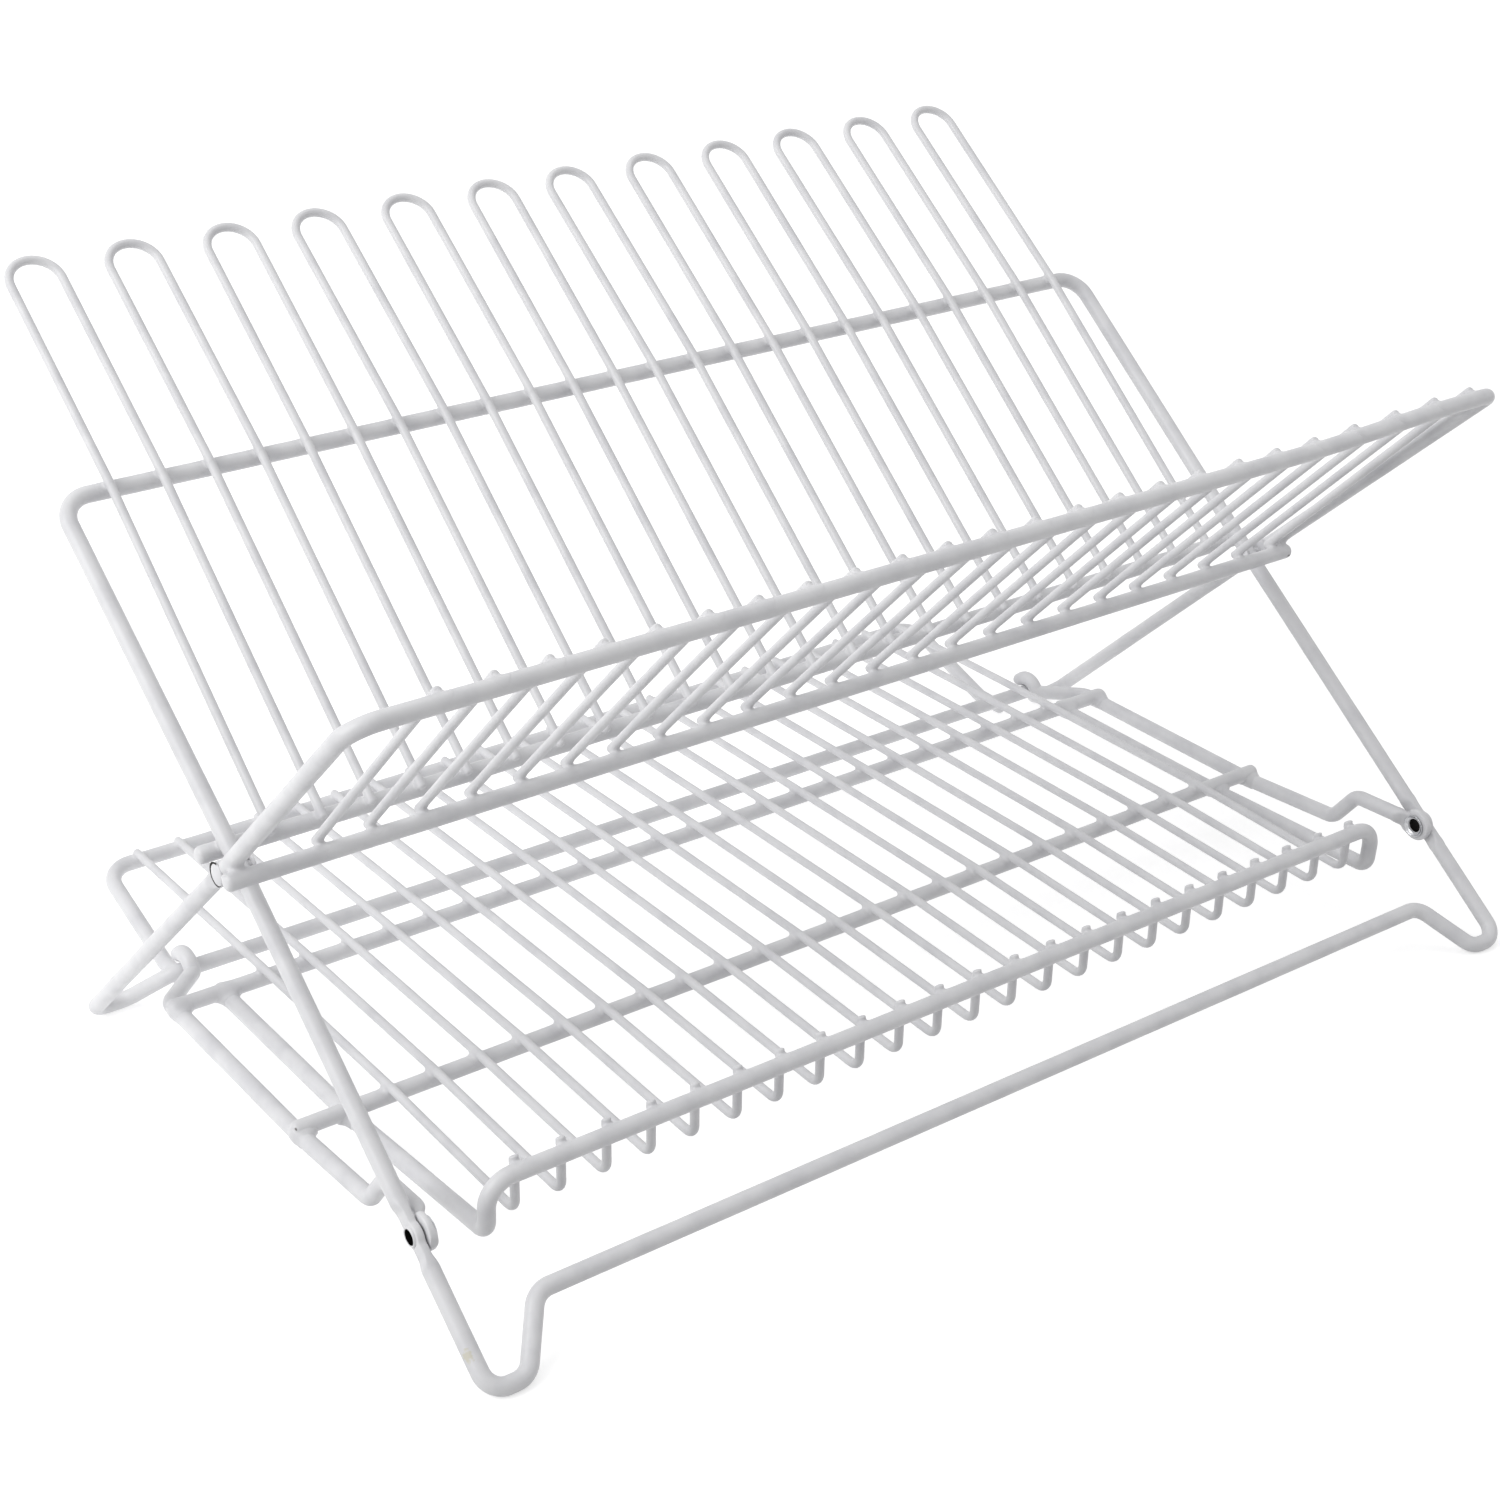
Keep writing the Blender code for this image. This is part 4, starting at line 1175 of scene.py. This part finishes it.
@dataclass
class Tray(Assembly):
    """The hooked wire tray: mat of wires, two crossbars, rim, rear bow and links."""

    body: ClassVar[str] = "tray"
    bar_rise: float = 0.0046
    bar_half: float = PLAN.hinge_half - 0.0023
    rear_bar_ahead: float = 0.0292
    front_bar: float = 0.0893
    set_down: float = 0.0024
    wire_count: int = 23
    weld_sink: float = 0.0006
    wire_side_gap: float = 0.0140
    wire_bend: float = 0.0045
    wire_shift: float = 0.0008
    wire_sag: float = 0.0028
    rear_proud: float = 0.0006
    crossing_pool: float = 0.0023
    rim_pool: float = 0.0034
    rim_half: float = PLAN.hinge_half - 0.0248
    rim_front_half: float = PLAN.hinge_half - 0.0270
    rim_overhang: float = 0.0040
    rim_low_bend: float = 0.0046
    rim_corner_bend: float = 0.0120
    lip_height: float = 0.0203
    lip_setback: float = 0.0024
    vee_setback: float = 0.0034
    vee_rise: float = 0.0014
    bow_half: float = PLAN.hinge_half - 0.0258
    bow_bend: float = 0.0100
    toe_drop: float = 0.0126
    toe_behind: float = 0.0120
    toe_length: float = 0.0160
    toe_bend: float = 0.0080
    link_half: float = PLAN.hinge_half - 0.0055
    link_bend: float = 0.0070
    link_overhang: float = 0.0075
    neck_end: float = 0.0040
    neck: tuple[float, float] = (0.0091, 0.0019)
    jog: tuple[float, float] = (0.0296, 0.0009)
    jog_foot: tuple[float, float] = (0.0406, 0.0010)
    hook_half: float = PLAN.hinge_half - 0.0223
    hook_clearance: float = 0.05 * MM
    hook_tip: float = math.radians(20.0)
    hook_steps: int = 24
    eye: float = 0.0130
    eye_flat_half: float = 0.0060
    eye_ramp: float = 0.0045

    @property
    def bar_level(self) -> float:
        """Height of the crossbars over the pivot."""
        return PLAN.rear_rail.z + self.bar_rise

    @property
    def wire_level(self) -> float:
        """Height of the tray's wires over the pivot."""
        return self.bar_level + WIRE_LIFT

    @property
    def front_bar_level(self) -> float:
        """Height of the front crossbar, which the wires sink into."""
        return self.bar_level + WELD_GAP + self.weld_sink

    @property
    def low_level(self) -> float:
        """Height of the rim and links under the crossbars."""
        return self.bar_level - self.set_down

    @property
    def rear_bar(self) -> float:
        """Setback of the rear crossbar."""
        return PLAN.rear_rail.y - self.rear_bar_ahead

    @property
    def bow_rail(self) -> float:
        """Setback of the bow's rail."""
        return PLAN.rear_rail.y + PLAN.tray_overhang

    @property
    def lip_level(self) -> float:
        """Height of the front rail."""
        return self.bar_level + self.lip_height

    @property
    def eye_half(self) -> float:
        """Half the width between the middles of the link eyes."""
        half = PLAN.finger_half(-PLAN.pivot_reach)
        return half - FLAT_THICKNESS / 2 - EYE_GAP - EYE_THICKNESS / 2

    @property
    def place(self) -> Matrix:
        """From the pivot to the row frame."""
        return Matrix.Translation(PLAN.pivot)

    def build(self) -> None:
        """Build and dress every piece of the tray."""
        self.build_mat()
        self.build_rim()
        self.build_bow()
        for side, label in SIDES:
            self.build_link(side, label)

    def build_mat(self) -> None:
        """Twenty-three wires with upturned front ends, on two crossbars."""
        ends = (-self.bar_half, self.bar_half)
        front, rear = [straight_bar(ends, setback, level, 5) for setback, level in (
            (self.front_bar, self.front_bar_level), (self.rear_bar, self.bar_level))]
        outermost = self.rim_half - self.wire_side_gap
        pitch = 2 * outermost / (self.wire_count - 1)
        lip = self.lip_setback + SUNK_LIFT
        low = self.wire_level - self.wire_sag
        wires = []
        fillets = []
        sunk = Weld(HEAVY, THIN, self.wire_level - self.front_bar_level, self.crossing_pool)
        upright = (Matrix.Rotation(math.pi / 2, 4, "X") @ HALF_TURN
                   @ Matrix.Rotation(math.pi, 4, "Y"))
        for index in range(self.wire_count):
            x = self.wire_shift - outermost + index * pitch
            route = bend([((x, self.bow_rail + self.rear_proud, self.wire_level - SET_DOWN), 0.0),
                          ((x, self.rear_bar, self.wire_level), 0.0),
                          ((x, self.front_bar, self.wire_level), 0.0),
                          ((x, lip, low), self.wire_bend),
                          ((x, lip, self.lip_level), 0.0)])
            wires.append(sweep(route, Stock.THIN, seed=70 + index))
            fillets += [
                self.fillet(sunk, x, self.front_bar, self.front_bar_level),
                self.fillet(THIN_OVER_HEAVY, x, self.rear_bar, self.bar_level),
                self.fillet(THIN_END_ON_RAIL, x, self.bow_rail, self.bar_level),
                self.fillet(THIN_END_ON_RAIL, x, self.lip_setback, self.lip_level, upright)]
        self.coated("tray_wires_and_front_crossbar", merged([front] + wires), ["tray_wire_mat"])
        self.coated("tray_back_crossbar", rear, ["tray_rear_crossbar"])
        self.welded("tray_wire_welds", fillets)

    def rim_corners(self) -> list[Corner]:
        """Right half of the rim from the rear crossbar to the front rail."""
        return [
            ((self.rim_half, self.rear_bar + self.rim_overhang, self.low_level), 0.0),
            ((self.rim_half, self.front_bar, self.low_level), 0.0),
            ((self.rim_front_half, self.vee_setback, self.bar_level + self.vee_rise),
             self.rim_low_bend),
            ((self.rim_front_half, self.lip_setback, self.lip_level), self.rim_corner_bend),
        ]

    def build_rim(self) -> None:
        """Side rails, upturned front corners and front rail, bent from one wire."""
        solid = sweep(bend(mirrored(self.rim_corners())), Stock.HEAVY, seed=6)
        self.coated("tray_rim_bent_wire", solid, ["tray_rim"])
        joint = Weld(HEAVY, HEAVY, self.set_down, self.rim_pool)
        end = Weld(HEAVY, HEAVY, self.set_down, self.rim_pool, self.bar_half - self.link_half)
        self.welded("tray_crossbar_welds", [
            self.fillet(kind, side * half, setback, self.low_level,
                        Matrix.Rotation(-side * math.pi / 2, 4, "Z"))
            for setback in (self.front_bar, self.rear_bar) for side, _ in SIDES
            for kind, half in ((joint, self.rim_half), (end, self.link_half))])

    def build_bow(self) -> None:
        """The rear rail and its two legs, which end behind the grid frame's rear rail."""
        toe_level = PLAN.rear_rail.z - self.toe_drop
        toe_end = PLAN.rear_rail.y + self.toe_behind
        corners = [
            ((self.bow_half, toe_end, toe_level), 0.0),
            ((self.bow_half, toe_end + self.toe_length, toe_level), self.toe_bend),
            ((self.bow_half, self.bow_rail, self.bar_level), self.bow_bend),
        ]
        solid = sweep(bend(mirrored(corners)), Stock.HEAVY, seed=7)
        self.coated("tray_rear_bow_bent_wire", solid, ["tray_rear_bow"])

    def link_route(self) -> list[Vector]:
        """Right link: eye, neck, jog, straight run, then inward and up into the hook."""
        radius = Stock.HEAVY.diameter + self.hook_clearance
        slope = PLAN.grid_slope
        leave = math.pi - slope
        hook = []
        for step in range(self.hook_steps + 1):
            angle = leave + (self.hook_tip - leave) * step / self.hook_steps
            hook.append(Vector((self.hook_half, PLAN.rear_rail.y + radius * math.cos(angle),
                                PLAN.rear_rail.z + radius * math.sin(angle))))
        fall = (hook[0].z - self.low_level) / math.sin(math.pi / 2 - slope)
        limb = hook[0].y - fall * math.cos(math.pi / 2 - slope)
        foot, over_bar = self.jog_foot
        run = [
            ((self.eye_half, -self.eye / 2, 0.0), 0.0),
            ((self.eye_half, self.neck_end, 0.0), 0.0),
            ((self.link_half, *self.neck), self.link_bend),
            ((self.link_half, *self.jog), self.link_bend),
            ((self.link_half, foot, self.bar_level + over_bar), self.link_bend),
            ((self.link_half, self.front_bar, self.low_level), 0.0),
            ((self.link_half, self.rear_bar + self.link_overhang, self.low_level), self.link_bend),
            ((self.hook_half, limb, self.low_level), self.link_bend),
            (tuple(hook[0]), 0.0),
        ]
        return bend(run) + hook[1:]

    def build_link(self, side: int, label: str) -> None:
        """One link with its hook, pressed into an eye at the tubular rivet.

        Args:
            side: -1 for left, 1 for right.
            label: the side's name.
        """
        pressing = Pressing(Vector((side * self.eye_half, 0.0, 0.0)), EYE_THICKNESS, self.eye,
                            self.eye_flat_half, self.eye_ramp)
        solid = sweep(on_side(self.link_route(), side), Stock.HEAVY, pressings=[pressing],
                      seed=8 + side, longest=FINE_STEP)
        link = self.coated(f"tray_link_{label}_bent_wire", solid,
                           [f"tray_link_{label}", f"tray_hook_{label}"])
        self.shop.bore(link, Vector((side * self.eye_half, PLAN.pivot.y, PLAN.pivot.z)))


def offset_profile(
        points: Sequence[tuple[float, float, float, float]]) -> list[tuple[float, float]]:
    """A profile from base sizes in metres, each with its offset in millimetres.

    Args:
        points: base distance outward, its offset, base radius and its offset.

    Returns:
        Distances outward and radii in metres.
    """
    return [(out + out_mm * MM, radius + radius_mm * MM)
            for out, out_mm, radius, radius_mm in points]


@dataclass
class Rivets(Assembly):
    """The solid rivets of the main hinge and the tubular rivets of the tray."""

    head: float = 0.0080
    head_height: float = 0.0015
    head_edge: float = 0.0004
    head_seat: float = 0.0012
    dome_steps: int = 10
    shank: float = 0.0032
    gap_disc: float = 0.0088
    gap_shift: float = 0.0009
    gap_level: float = 0.0007
    gap_side: tuple[float, float, float] = (0.0, 0.95, -0.30)
    tube: float = 0.0057
    tube_bore: float = 0.0052
    bell: float = 0.0092
    coated_head: float = 0.0074

    def build(self) -> None:
        """Build both pairs."""
        for side, label in SIDES:
            self.build_hinge(side, label)
            self.build_tube(side, label)

    def steel(self, name: str, solid: Solid, finish: bpy.types.Material,
              replaces: Sequence[str] = ()) -> None:
        """Make a piece of bare steel."""
        self.shop.piece(name, solid, self.body, finish, STEEL_SLOT, replaces)

    def domed_profile(self, seat: float, way: int) -> list[tuple[float, float]]:
        """Half outline of a domed head.

        Args:
            seat: where the head's flat side lies.
            way: 1 for a head that points outward, -1 for inward.

        Returns:
            Points from the crown to the rim.
        """
        rise = self.head_height - self.head_edge
        outline = [(seat + way * self.head_height, 0.0)]
        for step in range(1, self.dome_steps + 1):
            angle = math.pi / 2 * step / self.dome_steps
            outline.append((seat + way * (self.head_edge + rise * math.cos(angle)),
                            self.head / 2 * math.sin(angle)))
        outline.append((seat + way * 0.1 * MM, self.head / 2 - 0.15 * MM))
        return outline

    def build_hinge(self, side: int, label: str) -> None:
        """A solid rivet whose coated heads stand off a little from the arms, with a near-black disc
        in the gap at the outer head, shifted to one side, as painted shadow.

        Args:
            side: -1 for left, 1 for right.
            label: the side's name.
        """
        inner = PLAN.hinge_half - Stock.HEAVY.radius - WELD_GAP
        outer = PLAN.grid_half + self.head_seat
        shank = self.shank / 2
        profile = self.domed_profile(outer, 1) + offset_profile((
            (outer, 0.1, shank, 0.0), (inner, -0.1, shank, 0.0)))
        profile += reversed(self.domed_profile(inner, -1))
        self.coated(f"hinge_rivet_{label}_domed", turned(profile, PLAN.hinge, side),
                    [f"hinge_rivet_{label}"])
        # The gap disc is painted shadow: near-black steel just past the outer head's rim, shifted
        # to one side so that it shows as a dark crescent.
        rim = self.gap_disc / 2
        level = outer + self.gap_level
        gap = offset_profile(((level, 0.0, shank, 0.0), (level, 0.0, rim, -0.2),
                              (level, -0.1, rim, 0.0), (level, -0.4, rim, -0.1),
                              (level, -0.4, shank, 0.0)))
        middle = PLAN.hinge + Vector(self.gap_side) * self.gap_shift
        self.steel(f"hinge_rivet_{label}_gap_shadow", turned(gap, middle, side),
                   self.shop.painted_shade_steel)

    def build_tube(self, side: int, label: str) -> None:
        """A tubular rivet: coated head outside, a bore lined in near-black steel as painted shade,
        bright flared bell inside.

        Args:
            side: -1 for left, 1 for right.
            label: the side's name.
        """
        half = PLAN.finger_half(-PLAN.pivot_reach)
        outer = half + FLAT_THICKNESS / 2
        inner = half - FLAT_THICKNESS / 2 - EYE_GAP - EYE_THICKNESS
        bore, rim, tube = self.tube_bore / 2, self.bell / 2, self.tube / 2
        bell = offset_profile((
            (inner, 0.9, tube, 0.0), (inner, -0.05, tube, 0.2), (inner, -0.15, rim, -0.7),
            (inner, -0.4, rim, -0.15), (inner, -0.65, rim, 0.0), (inner, -0.9, rim, -0.03),
            (inner, -0.98, rim, -0.2), (inner, -0.8, rim, -0.5), (inner, -0.5, bore, 1.4),
            (inner, -0.2, bore, 0.8), (inner, 0.2, bore, 0.35), (inner, 0.9, bore, 0.15)))
        self.steel(f"tray_rivet_{label}_flared_bell", turned(bell, PLAN.pivot, side, 56),
                   self.shop.steel, [f"tray_rivet_{label}"])
        # The bore's wall is painted shade: a near-black steel lining where the hole's own shade
        # falls.
        lining = offset_profile(((inner, 0.5, bore, 0.0), (outer, 0.45, bore, 0.0),
                                 (outer, 0.45, tube, 0.0), (inner, 0.5, tube, 0.0)))
        self.steel(f"tray_rivet_{label}_bore_wall", turned(lining, PLAN.pivot, side),
                   self.shop.painted_shade_steel)
        edge = self.coated_head / 2
        lip = bore + 0.12 * MM
        head = offset_profile((
            (outer, -0.2, lip, 0.0), (outer, 0.4, lip, 0.0), (outer, 0.62, lip, 0.2),
            (outer, 0.66, lip, 0.5), (outer, 0.5, edge, -0.35), (outer, 0.2, edge, -0.05),
            (outer, -0.2, edge, 0.0)))
        self.shop.piece(f"tray_rivet_{label}_coated_head", turned(head, PLAN.pivot, side, 48),
                        self.body, self.shop.pooled_and_shaded, WHITE_SLOT)


@dataclass
class Studio:
    """Pale floor, plain soft light and the photograph's camera."""

    eye: tuple[float, float, float] = (-0.5508, -0.7216, 0.5451)
    sensor_mm: float = 36.0
    aim: tuple[float, float, float] = (0.0, 0.0, 0.1)
    yaw: float = math.radians(36.89)
    pitch: float = math.radians(26.87)
    roll: float = math.radians(-0.91)
    focal_px: float = 2638.0
    image_px: float = 1500.0
    centre_px: tuple[float, float] = (755.4, 746.2)
    table_dark_y: float = -0.22
    table_lit_y: float = 0.16
    table_dark_glow: float = 0.0
    table_glow: float = 0.55
    seen_glow: float = 0.55
    far_seen_glow: float = 0.64
    near: float = 0.45
    far: float = 1.70
    table_half: float = 40.0
    table_drop: float = 0.2 * MM
    sky_glow: float = 0.52
    table_colour: str = "#D9D9D9"
    table_bounce_colour: str = "#D0D0D0"

    def build(self) -> None:
        """Set the view transform and build the floor, the lights and the camera."""
        bpy.context.scene.view_settings.view_transform = "Standard"
        self.build_world()
        self.build_floor()
        self.build_lights()
        self.build_camera()

    def seen(self, tree: bpy.types.NodeTree) -> bpy.types.NodeSocket:
        """One for the rays that look at the background, nought for those that light the rack."""
        path = add_node(tree, "ShaderNodeLightPath")
        direct = add_node(tree, "ShaderNodeMath", {
            0: path.outputs["Is Camera Ray"], 1: path.outputs["Is Glossy Ray"]}, operation="ADD")
        through = add_node(tree, "ShaderNodeMath", {
            0: direct.outputs[0], 1: path.outputs["Is Transmission Ray"]}, operation="ADD",
            use_clamp=True)
        return through.outputs[0]

    def build_world(self) -> None:
        """A white world to the camera and in reflections, and a softer one as a lamp."""
        world = bpy.data.worlds.new("studio")
        bpy.context.scene.world = world
        world.use_nodes = True
        tree = world.node_tree
        feed(tree, tree.nodes["Background"], {
            "Color": linear("#FFFFFF"),
            "Strength": ranged(tree, self.seen(tree), result=(self.sky_glow, 1.0))})

    def build_floor(self) -> None:
        """A white floor that the camera sees as white, with the rack's faint shadow."""
        size = self.table_half
        corners = [(-size, -size, 0.0), (size, -size, 0.0), (size, size, 0.0), (-size, size, 0.0)]
        mesh = Solid(np.array(corners), [(0, 1, 2, 3)]).mesh("floor")
        floor = linked("floor", mesh)
        floor.location.z = -self.table_drop
        material, tree, shader = node_material("lit_white_acrylic_table")
        seen = self.seen(tree)
        place = add_node(tree, "ShaderNodeNewGeometry").outputs["Position"]
        split = add_node(tree, "ShaderNodeSeparateXYZ", {0: place})
        lit = ranged(tree, split.outputs["Y"], (self.table_dark_y, self.table_lit_y),
                     (self.table_dark_glow, self.table_glow), "SMOOTHSTEP")
        away = add_node(tree, "ShaderNodeVectorMath", {0: place}, operation="LENGTH")
        shown = ranged(tree, away.outputs["Value"], (self.near, self.far),
                       (self.seen_glow, self.far_seen_glow), "SMOOTHSTEP")
        glow = add_node(tree, "ShaderNodeMix", {0: seen, 2: lit, 3: shown}, data_type="FLOAT")
        feed(tree, shader, {
            "Base Color": mixed(tree, seen, linear(self.table_bounce_colour),
                                linear(self.table_colour)),
            "Roughness": 0.9, "Specular IOR Level": 0.0,
            "Emission Color": linear("#FFFFFF"), "Emission Strength": glow.outputs[0]})
        mesh.materials.append(material)

    def build_lights(self) -> None:
        """Three large soft panels: left key, right fill and a panel overhead."""
        for name, place, size, power in (("key", (-1.7, 0.2, 1.2), 1.5, 24.0),
                                         ("fill", (1.5, -1.5, 1.1), 1.4, 5.0),
                                         ("overhead", (0.1, 0.5, 1.9), 1.8, 8.0)):
            data = bpy.data.lights.new(name, "AREA")
            data.shape = "SQUARE"
            data.size = size
            data.energy = power
            lamp = linked(name, data)
            lamp.location = place
            lamp.rotation_mode = "QUATERNION"
            lamp.rotation_quaternion = (Vector(place) - Vector(self.aim)).to_track_quat("Z", "Y")

    def build_camera(self) -> None:
        """The camera that was solved from the photograph."""
        forward = Vector((math.sin(self.yaw) * math.cos(self.pitch),
                          math.cos(self.yaw) * math.cos(self.pitch), -math.sin(self.pitch)))
        level = Vector((math.cos(self.yaw), -math.sin(self.yaw), 0.0))
        down = forward.cross(level)
        right = math.cos(self.roll) * level + math.sin(self.roll) * down
        low = -math.sin(self.roll) * level + math.cos(self.roll) * down
        data = bpy.data.cameras.new("photograph_view")
        data.sensor_width = self.sensor_mm
        data.lens = self.focal_px / self.image_px * self.sensor_mm
        data.shift_x = (self.image_px / 2 - self.centre_px[0]) / self.image_px
        data.shift_y = (self.centre_px[1] - self.image_px / 2) / self.image_px
        camera = linked("photograph_view", data)
        matrix = Matrix((right, -low, -forward)).transposed().to_4x4()
        matrix.translation = Vector(self.eye)
        camera.matrix_world = matrix
        bpy.context.scene.camera = camera


def main() -> None:
    """Build every sub-assembly in order, then the studio."""
    logging.basicConfig(level=logging.INFO, format="%(name)s %(message)s")
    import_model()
    shop = Workshop()
    for assembly in (FingerFrame(shop), GridFrame(shop), Tray(shop), Rivets(shop)):
        LOG.info("building %s", type(assembly).__name__)
        assembly.build()
    Studio().build()
    bpy.context.view_layer.update()


if __name__ == "__main__":
    main()
